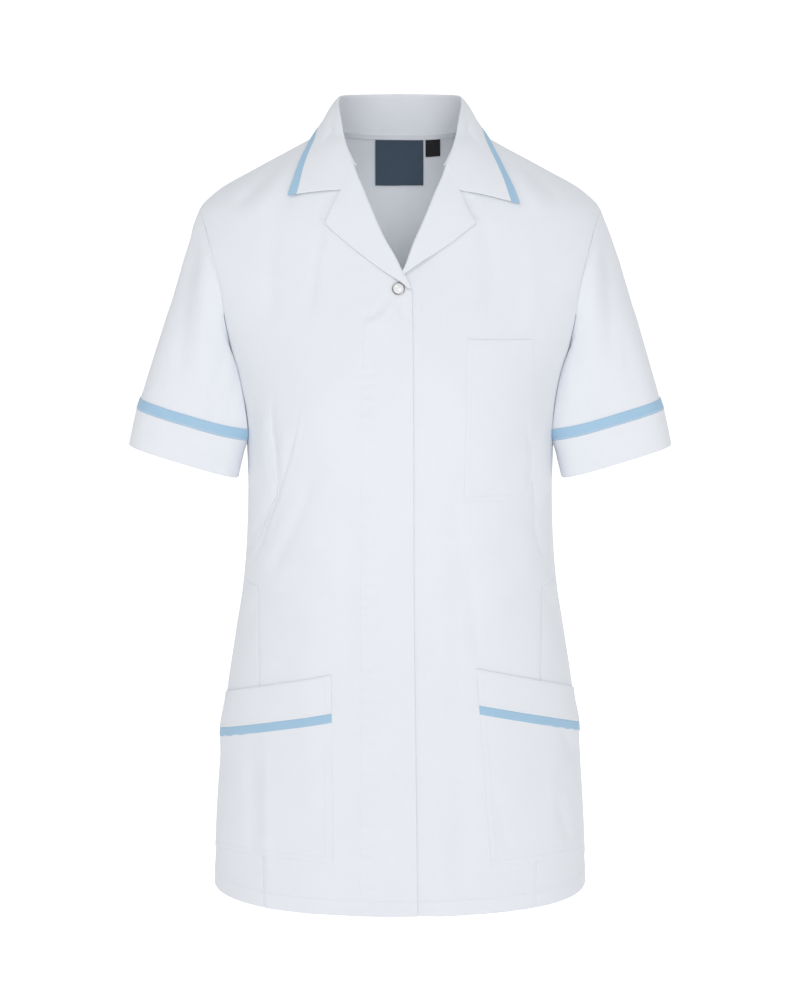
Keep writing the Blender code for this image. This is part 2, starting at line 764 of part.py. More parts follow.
def collar_rows(places):
    """Rows across the collar. places gives the path's places at a station."""
    step, path_step = 0.01, 0.06
    rows = []
    for station in range(-COLLAR_STEPS, COLLAR_STEPS + 1):
        side = -1 if station < 0 else 1
        s = abs(station) / COLLAR_STEPS
        row = []
        for path in places(s, side):
            here = collar_mid(s, path, side)
            ahead = collar_mid(min(s + step, 1.0), path, side)
            behind = collar_mid(max(s - step, 0.0), path, side)
            outside = collar_mid(s, min(path + path_step, 3.0), side)
            inside = collar_mid(s, max(path - path_step, 0.0), side)
            normal = unit(cross(add(ahead, behind, -1), add(outside, inside, -1)))
            if s == 0.0:
                normal = unit((0.0, normal[1], normal[2]))
            outer = add(here, normal, -WALL / 2)
            inner = add(here, normal, WALL / 2)
            row.append(((outer[0] * side, *outer[1:]), (inner[0] * side, *inner[1:])))
        rows.append(row)
    return rows


def collar(cloth, blue):
    """The collar with its stand, and the trim along its outer edge."""
    half_gap = 0.006

    def white_places(s, side):
        last = trim_path(s, side) - half_gap
        return COLLAR_STAND + tuple(1 + (last - 1) * share for share in COLLAR_FALL)

    def trim_places(s, side):
        first = trim_path(s, side) + half_gap
        return first, (first + 3) / 2, 3.0

    for name, places, made_of in (("collar", white_places, cloth),
                                  ("collar_trim", trim_places, blue)):
        piece = Cloth()
        piece.grid(collar_rows(places))
        piece.build(name, made_of)


def chest_pocket(cloth):
    """The plain patch on the left front."""
    rows = []
    for j in range(CHEST_ROWS + 1):
        start = mix(CHEST_POCKET["top_in"], CHEST_POCKET["low_in"], j / CHEST_ROWS)
        end = mix(CHEST_POCKET["top_out"], CHEST_POCKET["low_out"], j / CHEST_ROWS)
        row = []
        for i in range(CHEST_COLUMNS + 1):
            x, height = mix(start, end, i / CHEST_COLUMNS)
            row.append((turn_at_x(height * MM, x * MM), height * MM))
        rows.append(row)
    lay("chest_pocket", rows, 1, cloth)


def hip_lay(name, sizes, drops, side, made_of, gap, wall):
    """A strip of a hip pocket between two drops below its top edge, in millimetres.

    A second drop of None runs to the pocket's foot.
    """
    first, last = drops
    steps = HIP_ROWS if last is None else HIP_STRIP_ROWS
    rows, rises = [], []
    for j in range(steps + 1):
        row, rise_row = [], []
        for i in range(HIP_COLUMNS + 1):
            u = i / HIP_COLUMNS
            top = sizes["top_in"][1] + (sizes["top_out"] - sizes["top_in"][1]) * u
            foot = sizes["low_in"][1] + (sizes["low_out"] - sizes["low_in"][1]) * u ** 3
            end = foot if last is None else top - last
            height = top - first + (end - top + first) * j / steps
            z = height * MM
            down = (top - height) / (top - foot)
            inner = sizes["top_in"][0] + (sizes["low_in"][0] - sizes["top_in"][0]) * down
            start = turn_at_x(z, inner * MM)
            row.append((start + (turn_at_y(z, -HIP_SIDE_Y) - start) * u, z))
            near_mouth = math.exp(-((top - height - sizes["band"]) / MOUTH_SPREAD) ** 2)
            rise_row.append(MOUTH_RISE * near_mouth * ease((u - 0.5) * 2))
        rows.append(row)
        rises.append(rise_row)
    lay(name, rows, side, made_of, gap=gap, wall=wall, rise=lambda i, j: rises[j][i])


def hip_pocket(side, word, cloth, blue):
    """A hip pocket, its folded top band and the trim strip under the band."""
    sizes = HIP_POCKETS[word]
    band = sizes["band"]
    half_gap = SEAM_GAP / 2 / MM
    on_pocket = LAY_GAP + WALL + SEAM_GAP
    hip_lay(f"hip_pocket_{word}", sizes, (0, None), side, cloth, LAY_GAP, WALL)
    hip_lay(f"hip_pocket_band_{word}", sizes, (-1, band - half_gap), side, cloth, on_pocket, WALL)
    hip_lay(f"hip_pocket_trim_{word}", sizes, (band + half_gap, band + HIP_TRIM), side, blue,
            on_pocket, TRIM_WALL)


def turned(name, profile, centre, axis, made_of):
    """A closed solid turned from (radius, height) pairs about an axis through centre."""
    across = unit(cross(axis, (0, 0, 1)))
    up = cross(across, axis)
    sides = STUD_SIDES
    points, faces = [], []
    for radius, height in profile:
        for k in range(sides):
            angle = 2 * math.pi * k / sides
            point = add(centre, axis, height)
            point = add(point, across, radius * math.cos(angle))
            points.append(add(point, up, radius * math.sin(angle)))
    for r in range(len(profile) - 1):
        for k in range(sides):
            a, b = r * sides + k, r * sides + (k + 1) % sides
            faces.append([a, b, b + sides, a + sides])
    faces.append(list(range(sides))[::-1])
    faces.append([(len(profile) - 1) * sides + k for k in range(sides)])
    add_object(name, points, faces, made_of)


def stud(metal, pearl):
    """The metal ring and the pearl cap on it."""
    turn = turn_at_x(STUD_Z, STUD_X)
    axis = form_normal(turn, STUD_Z)
    seat = add(form(turn, STUD_Z), axis, SEAM_GAP)
    ring = ((STUD_RADIUS - STUD_EDGE, 0), (STUD_RADIUS, STUD_EDGE),
            (STUD_RADIUS, STUD_RING_HEIGHT - STUD_EDGE),
            (STUD_RADIUS - STUD_EDGE, STUD_RING_HEIGHT))
    turned("stud_ring", ring, seat, axis, metal)
    cap = [(STUD_CAP_RADIUS * math.cos(a), STUD_CAP_HEIGHT * math.sin(a))
           for a in (0, math.pi / 8, math.pi / 4, 3 * math.pi / 8, math.pi * 0.46)]
    turned("stud_cap", cap, add(seat, axis, STUD_RING_HEIGHT + SEAM_GAP), axis, pearl)


def neck_labels(cloth, slate, black):
    """Tape along the back neck seam, and the two labels that hang from it."""
    inside = -WALL - INSIDE_GAP

    def strip(name, x, half_width, top_drop, height, columns, made_of):
        rows = []
        for j in range(3):
            row = []
            for i in range(columns + 1):
                at = (x + half_width * (2 * i / columns - 1)) * MM
                top = back_neck_z(abs(at)) + SHOULDER_ROWS[0] * MM
                z = top - (top_drop + height * j / 2) * MM
                row.append((math.pi - turn_at_x(z, at), z))
            rows.append(row)
        lay(name, rows, 1, made_of, gap=inside - TRIM_WALL, wall=TRIM_WALL)

    strip("neck_tape", 0, TAPE_HALF, 0, TAPE_HEIGHT, 10, cloth)
    below = TAPE_HEIGHT + SEAM_GAP / MM
    strip("label_main", LABEL["x"], LABEL["half_width"], below, LABEL["height"], 4, slate)
    strip("label_size", SIZE_TAB["x"], SIZE_TAB["half_width"], below, SIZE_TAB["height"], 2, black)


def main():
    for piece in list(bpy.data.objects):
        bpy.data.objects.remove(piece, do_unlink=True)
    cloth = material("white_cloth", (0.83, 0.85, 0.89), 0.85)
    blue = material("blue_trim", (0.38, 0.58, 0.76), 0.8)
    slate = material("slate_label", (0.05, 0.08, 0.11), 0.7)
    black = material("black_tab", (0.01, 0.01, 0.012), 0.7)
    metal = material("silver_metal", (0.75, 0.76, 0.78), 0.25, 1.0)
    pearl = material("pearl_cap", (0.85, 0.85, 0.87), 0.25)

    back(cloth)
    for side, word in ((-1, "right"), (1, "left")):
        front(f"front_{word}", side, cloth)
        side_panel(f"side_panel_{word}", side, cloth)
        sleeve(side, word, cloth, blue)
        lapel(side, word, cloth)
        hip_pocket(side, word, cloth, blue)
    collar(cloth, blue)
    chest_pocket(cloth)
    stud(metal, pearl)
    neck_labels(cloth, slate, black)


main()
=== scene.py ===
"""Looks of the medical tunic: fine cloth shells on the model's form, with its folds and sewing.

Lengths are in millimetres until a mesh is made. The wearer faces -Y and the wearer's left is at +X.
"""
import math

import bpy
import numpy as np
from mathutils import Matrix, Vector

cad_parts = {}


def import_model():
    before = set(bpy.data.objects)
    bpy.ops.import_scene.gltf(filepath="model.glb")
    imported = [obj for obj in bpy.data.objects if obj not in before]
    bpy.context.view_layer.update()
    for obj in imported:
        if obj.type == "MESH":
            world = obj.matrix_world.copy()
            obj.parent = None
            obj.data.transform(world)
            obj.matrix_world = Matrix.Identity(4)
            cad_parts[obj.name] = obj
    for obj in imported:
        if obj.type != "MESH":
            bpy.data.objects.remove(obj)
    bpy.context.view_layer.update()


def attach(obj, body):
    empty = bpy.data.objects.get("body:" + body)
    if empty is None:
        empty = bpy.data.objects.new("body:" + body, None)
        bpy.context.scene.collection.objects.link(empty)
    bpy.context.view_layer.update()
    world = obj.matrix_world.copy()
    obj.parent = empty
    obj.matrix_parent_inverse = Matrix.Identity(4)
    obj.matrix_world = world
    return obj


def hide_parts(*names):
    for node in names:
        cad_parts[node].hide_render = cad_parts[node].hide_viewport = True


MM = 0.001
SIDES = ((-1, "right"), (1, "left"))

# Thickness of the shells
CLOTH = 0.8
TRIM_THICK = 0.7
# A trim's lower face lies this far over the cloth under it
TRIM_LOW = 0.1
# A patch sewn on the body: its lower face, its thickness, and that of a folded band on it
PATCH_LOW = -0.1
PATCH = 0.65
PATCH_TOP = PATCH_LOW + PATCH
BAND_THICK = 0.8
# Spacing of a shell's points, and the closer ones along its rims
STEP = 2.6
SHOULDER_STEP = 2.3
RIM_STEPS = (0.0, 0.12, 0.4, 1.0)
# Radius of the round rim at a free edge, and at an edge that is sewn to the next piece
FREE_RIM = 0.4
SEAM_RIM = 0.12
# Widths that set how many columns a panel has: a front's main part and its part beside the
# armhole, a side panel, and each half of the back beside the neck
FRONT_WIDTH, FRONT_SIDE_WIDTH = 150, 45
SIDE_PANEL_WIDTH = 60
BACK_SIDE_WIDTH = 110
BACK_NECK_COLUMNS = 30

# Heights on the body
SHOULDER_TIP_Z = -79
UNDERARM_Z = -235
BACK_NECK_Z = -10
# The back's rows bend to the neck edge from this height up
BACK_BEND_Z = -24
SIDE_PANEL_TOP_Z = -445
NECK_FOOT_Z = -100
HEM_Z = -765
TOP_Z = -0.6

# The armhole is an ellipse seen from the side
ARMHOLE_HALF_DEPTH = 52
ARMHOLE_MIDDLE_Z = (SHOULDER_TIP_Z + UNDERARM_Z) / 2
ARMHOLE_REACH = (SHOULDER_TIP_Z - UNDERARM_Z) / 2
ARMHOLE_ROWS = 64

# Level sections of the body: height, half width, front depth, back depth, and roundness,
# where 2 is an ellipse
SECTIONS = (
    (60, 46, 40, 60, 2.0),
    (20, 60, 44, 66, 2.0),
    (0, 71, 48, 69, 2.0),
    (-15, 97, 56, 73, 2.0),
    (-38, 140, 67, 82, 2.0),
    (-62, 181, 78, 91, 2.0),
    (-79, 197, 85, 96, 2.0),
    (-115, 206, 98, 104, 2.0),
    (-165, 192, 115, 110, 2.05),
    (-205, 175, 126, 112, 2.1),
    (-235, 163, 131, 112, 2.15),
    (-270, 156, 133, 110, 2.2),
    (-305, 152.5, 130, 106, 2.2),
    (-350, 151.5, 123, 101, 2.2),
    (-400, 153, 116, 98, 2.2),
    (-450, 157, 113, 100, 2.2),
    (-500, 165, 114, 106, 2.2),
    (-565, 175, 117, 115, 2.2),
    (-630, 182, 120, 121, 2.25),
    (-700, 187, 122, 124, 2.3),
    (-765, 190, 123, 126, 2.3),
)
# Fullness that the bust darts give
BUST_X, BUST_Z = 88, -252
BUST_SPREAD = 52
BUST_RISE = 6

# Height, distance from the middle of the neck opening: a front's neck edge, and the fold
NECK_EDGE = ((-127, 3), (-113, 9.4), (-98, 17), (-84, 23.7), (-69, 30.5), (-54, 37), (-40, 44),
             (-25, 53), (-12, 63), (0, 71))
ROLL_LINE = ((-127, 0), (-113, 6.4), (-98, 14), (-84, 20.7), (-69, 27.4), (-54, 33.8), (-40, 40.4),
             (-25, 46))
NECK_SHIFT = 2.2
NECK_SHIFT_FROM_Z, NECK_SHIFT_TO_Z = -92, -122
# Front edges below the neck opening: height, distance past the middle
LAP_EDGE = ((-127, -2), (-134, -7), (-145, -11.5), (-200, -12.5), (-450, -13.5), (-765, -17.5))
UNDER_EDGE = ((-127, 5), (-134, -2), (-170, -36), (-765, -36))
UNDER_DIP = -1.8
DIP_FROM_X, DIP_TO_X = 20, 42
# The lap's edge is several layers thick, from a little below the neck opening down
LAP_LOW = -1.5
LAP_WIDTH = 24
LAP_FROM_Z, LAP_FADE = NECK_FOOT_Z - 30, 10
UPRIGHT_SEAM = ((-445, 141), (-765, 136))

# Sleeve: ring where the cuff starts and ring at the cuff's hem
CUFF_TOP = {"x": 208.0, "y": -4.0, "z": -290.5, "half_width": 54.8, "half_depth": 46.0}
CUFF_HEM = {"x": 215.0, "y": -7.0, "z": -327.0, "half_width": 56.0, "half_depth": 46.0}
CUFF_SLOPE = math.radians(17.2)
CUFF_PITCH = math.radians(5.0)
SLEEVE_LENGTH = 205
CUFF_HEIGHT = 38
CUFF_LOW, CUFF_HIGH = -0.9, 0.5
START_PULL = 0.75
SLEEVE_ROUNDNESS = 3.4
# The sleeve keeps this far off the body, from a share of the way down it
BODY_CLEARANCE = 0.35
CLEAR_FROM = 0.12
# How far a sleeve's inner front reaches to the body, and its outer edge comes in, down the
# sleeve (0 to 1) and the cuff (1 to 2)
INNER_REACH = ((0, 0), (0.06, 0), (0.17, 6.5), (0.28, 10), (0.45, 12), (0.65, 13), (0.85, 11),
               (1, 7), (2, 1.2))
REACH_ANGLE = 0.84 * math.pi
REACH_SPREAD = 0.62
OUTER_REACH = {-1: ((0, 0), (0.1, 0.4), (0.28, 2.0), (0.5, 2.8), (0.8, 1.2), (1, 0.3), (2, 0)),
               1: ((0, 0), (0.1, -1.2), (0.4, -0.5), (0.8, 0), (2.0, 0))}
# The sleeve starts a little under the edge of the armhole, and its folds soon after
SLEEVE_TUCK = 1.2
SLEEVE_SUNK = 0.5
SLEEVE_FOLDS_BY = 0.15
TRIM_HEIGHT = 10.5
# Stitch rows of a sleeve: row of the trim's grid, rows of the cuff's grid and their height
TRIM_SEWN_ROW = -4
CUFF_SEWN_ROWS = (5, -10)
CUFF_SEWN = 0.36
# Ways in which the sleeve leaves the armhole at its top, side and underarm
LEAVE_TOP = (0.42, 0.0, -0.91)
LEAVE_SIDE = (0.42, 0.24, -0.87)
LEAVE_UNDER = (0.06, 0.0, -1.0)

# Lapel: its free edge by height and distance, and the ends of its roll
LAPEL_TOP = (-52, 56.2)
LAPEL_CORNER = (-83.5, 72.5)
LAPEL_LOW_EDGE = {
    -1: ((-143, -4.8), (-139, -0.8), (-135, 5.2), (-127, 18.2), (-118, 31), (-109, 42.3),
         (-99, 54.3), LAPEL_CORNER),
    1: ((-129.5, 2.2), (-124, 9.8), (-117, 21), (-108, 36.8), (-99, 51.7), LAPEL_CORNER),
}
ROLL_FOOT = {-1: -143.5, 1: -127.5}
ROLL_TOP = -27.2
# The right roll runs on down the lap's edge
ROLL_ON_LAP = ((-144, -8.8), (-139, -7.0), (-134, -4.8))
LAPEL_CORNER_AT = 0.6
LAPEL_FADE_FROM = 0.7
# Lengths that set its rows below and above the corner, and its width for the columns
LAPEL_LOW_LENGTH, LAPEL_HIGH_LENGTH = 76, 48
LAPEL_WIDTH = 60
# The fold's round edge, and how far the cloth runs back inside it
ROLL_RADIUS = 1.7
ROLL_INSIDE = 8
ROLL_LOW = -CLOTH - 0.6
# The roll is tighter where the lapel is narrower than this, down to a share of its radius
ROLL_FULL_WIDTH, ROLL_LEAST = 10, 0.25
# Columns round the roll and inside it
ROLL_COLUMNS, ROLL_INSIDE_COLUMNS = 9, 3
# The lapel's height over the front, more beside the roll and at the stud
LAPEL_REST = 1.5
LAPEL_RISE, LAPEL_RISE_SPREAD = 1.3, 11
STUD_RISE, STUD_RISE_AREA = 0.9, 90
# The left lapel dips to run under the right one
LAPEL_DIP_X, LAPEL_DIP_WIDTH, LAPEL_DIP_HEIGHT = 3, 16, 14

# Collar stations from the back of the neck round to the front end
# fold: x, y, z; free edge: x, y, z; the free edge then rests on the body
COLLAR_STATIONS = (
    (0, 71, 30, 0, 84, -30),
    (20, 68.5, 30, 32, 82, -30),
    (38, 58, 30.5, 60, 72, -29),
    (51, 42, 31, 77, 48, -24),
    (58, 20, 31, 80.5, 20, -13),
    (59.5, -2, 26, 81.5, -4, -13),
    (57, -20, 14, 85, -20, -19),
    (54, -36, -2, 92.2, -34, -35),
    (49.5, -50, -17, 98.5, -45, -50),
    (44.5, -58, -30, 103.5, -52, -65.5),
)
# The left point lies further out and lower than the right one
LEFT_POINT_SHIFT = (6, 0.0, -8)
LEFT_POINT_FROM = 0.72
# The front end of the collar's fold is moved out to meet the lapel's fold
FOLD_END_OUT = 1.4
FOLD_END_FROM = 0.72
COLLAR_TRIM_WIDTH = 8.4
COLLAR_THICK = 1.2
# Lengths that set the collar's rows and columns: half way round, stand and fall
COLLAR_HALF, STAND_HEIGHT, FALL_WIDTH = 270, 40, 52
COLLAR_STEP, COLLAR_TRIM_STEP = 2.2, 1.1
COLLAR_CENTRE = np.array((0, 0, -60))
# Stitch rows on the stand: their places up it, how far round they run, and points
STAND_ROWS = (0.1, 0.19)
STAND_ROW_END, STAND_ROW_POINTS = 0.62, 110
STAND_BOW = 1.5
# The fall arches over its upper part, most at the back
FALL_ARCH = 5
FALL_ARCH_PART = 1.6
# Neck seam: share of the way round at the side, its front end's height and the power by which it
# drops there, how far and from where it runs inside the roll, and how far it lies off the stand
SEAM_SIDE_AT = 0.47
SEAM_FRONT_Z = -30
SEAM_DROP = 1.3
SEAM_INSIDE = 0.8
SEAM_INSIDE_FROM = 0.7
SEAM_LIFT = -1.4
# The fall's front part bends over the notch with the lapel
NOTCH = (55, -52.5)
NOTCH_AT = 0.22
NOTCH_FROM = 0.86
# Height of the collar over the body, and where it is sewn to the lapel
COLLAR_REST = 2.7
GORGE_REST = 1.5
GORGE_FROM = 0.8
GORGE_FADE = 0.3
# The fold is rounded over this much of the path on each side, and the fall dips beside it
FOLD_ROUND = 0.13
FALL_DIP = 3.4
FALL_DIP_AT, FALL_DIP_SPREAD = 0.33, 0.11
FALL_DIP_FROM, FALL_DIP_FADE = 0.5, 0.3
FALL_DIP_WAY = np.array((-0.5, 0.7, -0.5))

# Pocket corners on the body: distance from the middle and height
CHEST_POCKET = {"top_in": (64, -190), "top_out": (127.5, -194),
                "low_in": (61.5, -349), "low_out": (129.5, -351)}
CHEST_WIDTH, CHEST_HEIGHT = 66, 158
CHEST_HEM, CHEST_HEM_RISE = 9, 0.3
HIP_POCKETS = {
    "right": {"top_in": (67, -523), "top_out": -566,
              "low_in": (66, -711), "low_out": -729, "band": 37.5},
    "left": {"top_in": (74.5, -517), "top_out": -562,
             "low_in": (90, -717), "low_out": -736, "band": 36.0},
}
HIP_WIDTH, HIP_HEIGHT, HIP_BAND = 150, 190, 38
HIP_TRIM = 9.0
HIP_TRIM_THICK = 0.5
# The band reaches over the pocket's top edge, and band and trim are sunk a little in the cloth
BAND_OVER = 0.6
BAND_SUNK = 0.1
# Stitch rows of the band: their distances from its foot and from its top
BAND_SEWN_LOW, BAND_SEWN_HIGH = 2.2, 1.4
# The trim wavers a little: height, waves, and the range across the pocket where it starts
RUFFLE, RUFFLE_WAVES = 0.5, 47
RUFFLE_FROM, RUFFLE_FADE = 0.35, 0.3
# Depth at which a hip pocket ends, in front of the side seam
HIP_SIDE_Y = 6
# The mouth stands off the body a little, less towards the side seam
MOUTH_RISE = 3.5
MOUTH_SPREAD = 24
MOUTH_CLOSE = 0.1
EDGE_STITCH = 5.0

STUD_X, STUD_Z = -1.5, -142.8
STUD_SEAT = 0.1
STUD_RADIUS = 6.2
STUD_RIM, STUD_RIM_Z = 0.5, 0.85
# How far inside its edge the ring meets the cloth, and its inner wall starts, at a height
STUD_FOOT_IN = 0.7
STUD_WALL_IN, STUD_WALL_Z = 1.1, 0.5
STUD_CAP_RADIUS = 5.2
STUD_CAP_Z, STUD_CAP_RISE = 0.7, 1.9

# Labels inside the back neck
TAPE_HALF = 62
TAPE_HEIGHT = 5.8
# x, half width, height
LABEL = (-0.8, 24.4, 47.8)
SIZE_TAB = (33.2, 7.4, 18)
TAPE_LOW, LABEL_LOW, LABEL_THICK = -2.0, -2.1, 0.8
# The labels start this far under the tape's lower edge
LABEL_TUCK = 0.2

# Folds of the cloth: height (a trough is below 0), half width, then x and z of each place
FRONT_FOLDS = (
    (-2.2, 6, -112, -20, -135, -47, -155, -66, -163, -80),
    (1.8, 8, -98, -26, -124, -58, -146, -84),
    (-0.8, 8, -92, -30, -110, -66, -116, -112),
    (-1.6, 9, -122, -60, -125, -110, -124, -190),
    (-1.9, 4, -71, -46, -74, -72, -75, -86, -82, -127, -88, -180),
    (0.9, 5, -63, -60, -66, -84),
    (-1.9, 6, 112, -24, 140, -49, 158, -66),
    (1.5, 8, 102, -30, 128, -60, 146, -86),
    (-1.6, 4, 60, -56, 67, -67, 75, -82),
    (-1.8, 8, 80, -70, 86, -110, 88, -180),
    (1.4, 10, 122, -80, 128, -140, 124, -200),
    (-1.8, 2.4, -6, -142, -9, -147, -12, -154, -16, -160, -20, -164, -24, -166, -32, -169,
     -44, -175),
    (-1.3, 2.4, -5, -146, -1, -162, 2, -166, 9, -171),
    (0.8, 3.4, -10, -152, -20, -172, -38, -178),
    (-0.6, 5, -10, -146, -38, -150, -72, -164),
    (-0.6, 8, -18, -170, -30, -215, -34, -270),
    (-2.0, 3.6, -116, -232, -124, -262, -124, -282, -121, -304, -119, -335, -121, -350, -130, -366,
     -141, -392, -156, -428),
    (1.5, 6, -132, -258, -131, -300, -128, -340, -138, -366),
    (-1.0, 6, -146, -250, -143, -300, -142, -352),
    (0.9, 4.5, -110, -268, -113, -300, -115, -330),
    (-1.0, 2.4, -94, -242, -99, -279, -107, -312, -114, -336, -122, -359, -134, -396, -145, -420,
     -158, -446),
    (-1.6, 5, -83, -312, -92, -350, -104, -382, -119, -412, -133, -448),
    (1.0, 6.5, -104, -340, -119, -382, -138, -432),
    (0.7, 12, -72, -300, -76, -360, -92, -420),
    (-0.9, 5, -140, -456, -150, -480, -156, -512),
    (-1.3, 3, 116, -250, 122, -282, 128, -305, 128, -335, 133, -360, 134, -388, 141, -410,
     156, -455),
    (1.1, 6, 138, -270, 140, -330, 143, -372),
    (0.8, 7, 118, -370, 124, -410, 134, -448),
    (-1.1, 4.5, 141, -440, 152, -470, 161, -505, 167, -532),
    (0.9, 5, 148, -436, 160, -468, 168, -500),
    (-2.0, 7, 66, -395, 71, -450, 77, -520),
    (0.7, 10, 90, -380, 98, -450, 104, -530),
    (-1.8, 11, -49, -330, -50, -450, -48, -560),
    (1.6, 13, -84, -430, -92, -520, -88, -640),
    (-1.7, 10, 52, -300, 57, -420, 56, -600),
    (1.1, 5, -134, -575, -132, -640, -131, -711, -133, -800),
    (-2.6, 8, -148, -585, -146, -650, -147, -735),
    (-0.5, 12, -104, -600, -108, -690),
    (-1.4, 4.5, 160, -585, 168, -606, 176, -630),
    (-1.2, 5, 154, -650, 165, -685, 174, -722),
    (0.9, 6, 150, -600, 152, -650, 150, -700),
    (-0.7, 6, 96, -640, 103, -690, 118, -712),
    (-0.7, 4, -20, -600, -12, -612, 4, -622),
    (-0.7, 4, 8, -640, 12, -672, 15, -690),
    (-0.7, 5, -42, -726, -20, -722, 4, -732),
    (0.5, 4, -14, -700, 2, -706),
    (1.5, 12, 30, -500, 34, -640, 38, -800),
    (-1.6, 11, 58, -560, 62, -680, 66, -800),
    (-1.5, 12, -58, -560, -54, -680, -56, -800),
    (-0.5, 9, 36, -108, 44, -150, 46, -220),
)
BACK_FOLDS = (
    (-1.4, 9, -150, -92, -118, -120, -92, -160),
    (-1.3, 9, 150, -96, 120, -128, 98, -172),
    (1.4, 13, -128, -92, -104, -150, -98, -250, -104, -330),
    (1.3, 13, 122, -96, 104, -160, 101, -260, 108, -336),
    (-1.0, 14, -70, -130, -64, -220, -70, -320),
    (-1.0, 14, 66, -120, 72, -230, 64, -330),
    (-0.8, 7, -148, -330, -104, -350, -50, -346, -10, -352),
    (0.6, 8, -120, -372, -66, -366, -14, -374),
    (-0.9, 6, -110, -396, -70, -392, -36, -398),
    (-0.8, 7, 150, -338, 112, -356, 52, -354),
    (0.6, 8, 128, -380, 84, -376, 30, -384),
    (-0.8, 6, 132, -410, 90, -404, 58, -410),
    (1.6, 17, -60, -440, -74, -560, -80, -800),
    (-1.5, 14, -104, -450, -118, -560, -124, -800),
    (1.5, 17, 64, -436, 80, -570, 86, -800),
    (-1.5, 14, 108, -446, 122, -560, 128, -800),
    (-1.3, 19, -6, -430, 2, -560, 4, -800),
    (-0.7, 10, -32, -40, -40, -90, -38, -140),
    (-0.7, 10, 30, -44, 42, -96, 38, -150),
)
# Folds of a sleeve for the wearer's left one, seen from the front and from the back
SLEEVE_FRONT_FOLDS = {
    -1: (
        (-3.0, 8, 200, -84, 202, -110, 209, -150, 213, -190, 215, -262),
        (2.2, 7, 188, -98, 190, -130, 192, -180, 197, -250),
        (-2.0, 6, 170, -200, 176, -240, 184, -290),
        (1.7, 9, 222, -130, 230, -180, 236, -240),
        (-1.2, 5, 158, -236, 166, -262, 172, -290),
        (-1.4, 4, 211, -270, 209, -300, 207, -330),
        (0.8, 8, 228, -250, 232, -290, 236, -320),
    ),
    1: (
        (-2.7, 8, 196, -84, 203, -120, 206, -170, 208, -240),
        (2.1, 8, 182, -100, 187, -140, 186, -200, 190, -262),
        (-1.5, 6, 168, -196, 172, -240, 178, -292),
        (1.2, 9, 222, -136, 232, -190, 238, -250),
        (-1.0, 6, 214, -180, 224, -224, 232, -262),
        (-0.7, 6, 220, -276, 222, -300, 226, -322),
    ),
}
SLEEVE_BACK_FOLDS = (
    (1.6, 10, 206, -90, 214, -130, 218, -190, 222, -262),
    (-1.7, 9, 190, -110, 194, -160, 196, -240),
    (1.3, 7, 172, -200, 180, -240, 190, -285),
    (-1.1, 8, 236, -170, 240, -220, 246, -280),
)
# A sleeve's folds start where its cloth faces forwards or backwards by this much
SLEEVE_FACING_FROM, SLEEVE_FACING_FADE = 0.05, 0.5
# A fold fades out over this share of its length at each end
FOLD_FADE = 0.3
# Folds of the body fade out towards its sides, over this range of depths
FOLD_END_Y, FOLD_END_WIDTH = 1, 18
# A tuck's slope: share of its width, share of its height
TUCK_SLOPE = ((0.0, 0.0), (0.05, 0.85), (0.12, 1.0), (0.3, 0.75), (0.6, 0.4), (0.85, 0.12),
              (1.0, 0.0))
TUCK_POINTS, TUCK_FADE = 140, 0.25
# Its edges lie this far under the cloth, and it ends this far before the side
TUCK_SUNK = 0.15
TUCK_END_GAP = 3.0
TUCK_THICK = 0.1
# Pressed tucks on a front, by side: places (distance, height) of the crisp edge, the way that
# the cloth slopes from it, width of the slope and height of the step
TUCKS = {
    -1: (
        (((122, -243), (125, -262), (124.5, -284), (121.5, -304), (119.5, -335), (121, -350),
          (128, -363), (138, -388), (149, -416)), 1, 7.0, 0.85),
        (((96.5, -246), (97, -262), (99, -279), (107, -312), (114, -336), (122, -359),
          (134, -396), (146, -424)), -1, 8.0, 0.8),
    ),
    1: (
        (((118, -262), (123, -284), (128, -305), (129, -335), (133, -357), (134, -384),
          (139, -406), (147, -428)), 1, 6.0, 0.65),
    ),
}
# Faint unevenness of all cloth: height, waves in x, waves in z, start
UNEVEN = ((0.22, 0.071, 0.029, 0.4), (0.18, -0.043, 0.057, 1.9), (0.10, 0.13, -0.081, 2.6),
          (0.07, -0.17, 0.15, 0.9))
# The back and the sleeves take theirs from this far along
BACK_UNEVEN_AT, SLEEVE_UNEVEN_AT = 40, 70
# Ripples beside the line that holds the fly
PUCKER = 0.5
PUCKER_X, PUCKER_SPREAD = -31, 6
PUCKER_FROM_Z, PUCKER_FADE = -170, 40
FLY_LINE = ((35, -176), (38, -400), (39.5, -745))
# The hem's stitching lies this far above its edge
HEM_SEWN = 16.0
# Seams dip a little
SEAM_DIP = -0.8
SEAM_DIP_WIDTH = 2.2

STITCH_LENGTH = 2.2
STITCH_PITCH = 2.9
STITCH_RADIUS = 0.22
STITCH_SIDES = 6
# Rings of a stitch: place along it, share of its radius
STITCH_RINGS = ((-0.5, 0.15), (-0.34, 0.8), (0.0, 1.0), (0.34, 0.8), (0.5, 0.15))
STITCH_FLAT, STITCH_UP = 1.25, 0.35

# Strength of the twill line and of uneven threads in the weave, and of the grain in a gloss
TWILL = 0.6
SLUB = 1.6
GRAIN = 0.02

# The studio, in metres
WORLD_STRENGTH = 0.55
FLOOR_Z = -1.35
FLOOR_RADIUS = 60.0
FLOOR_SIDES = 96
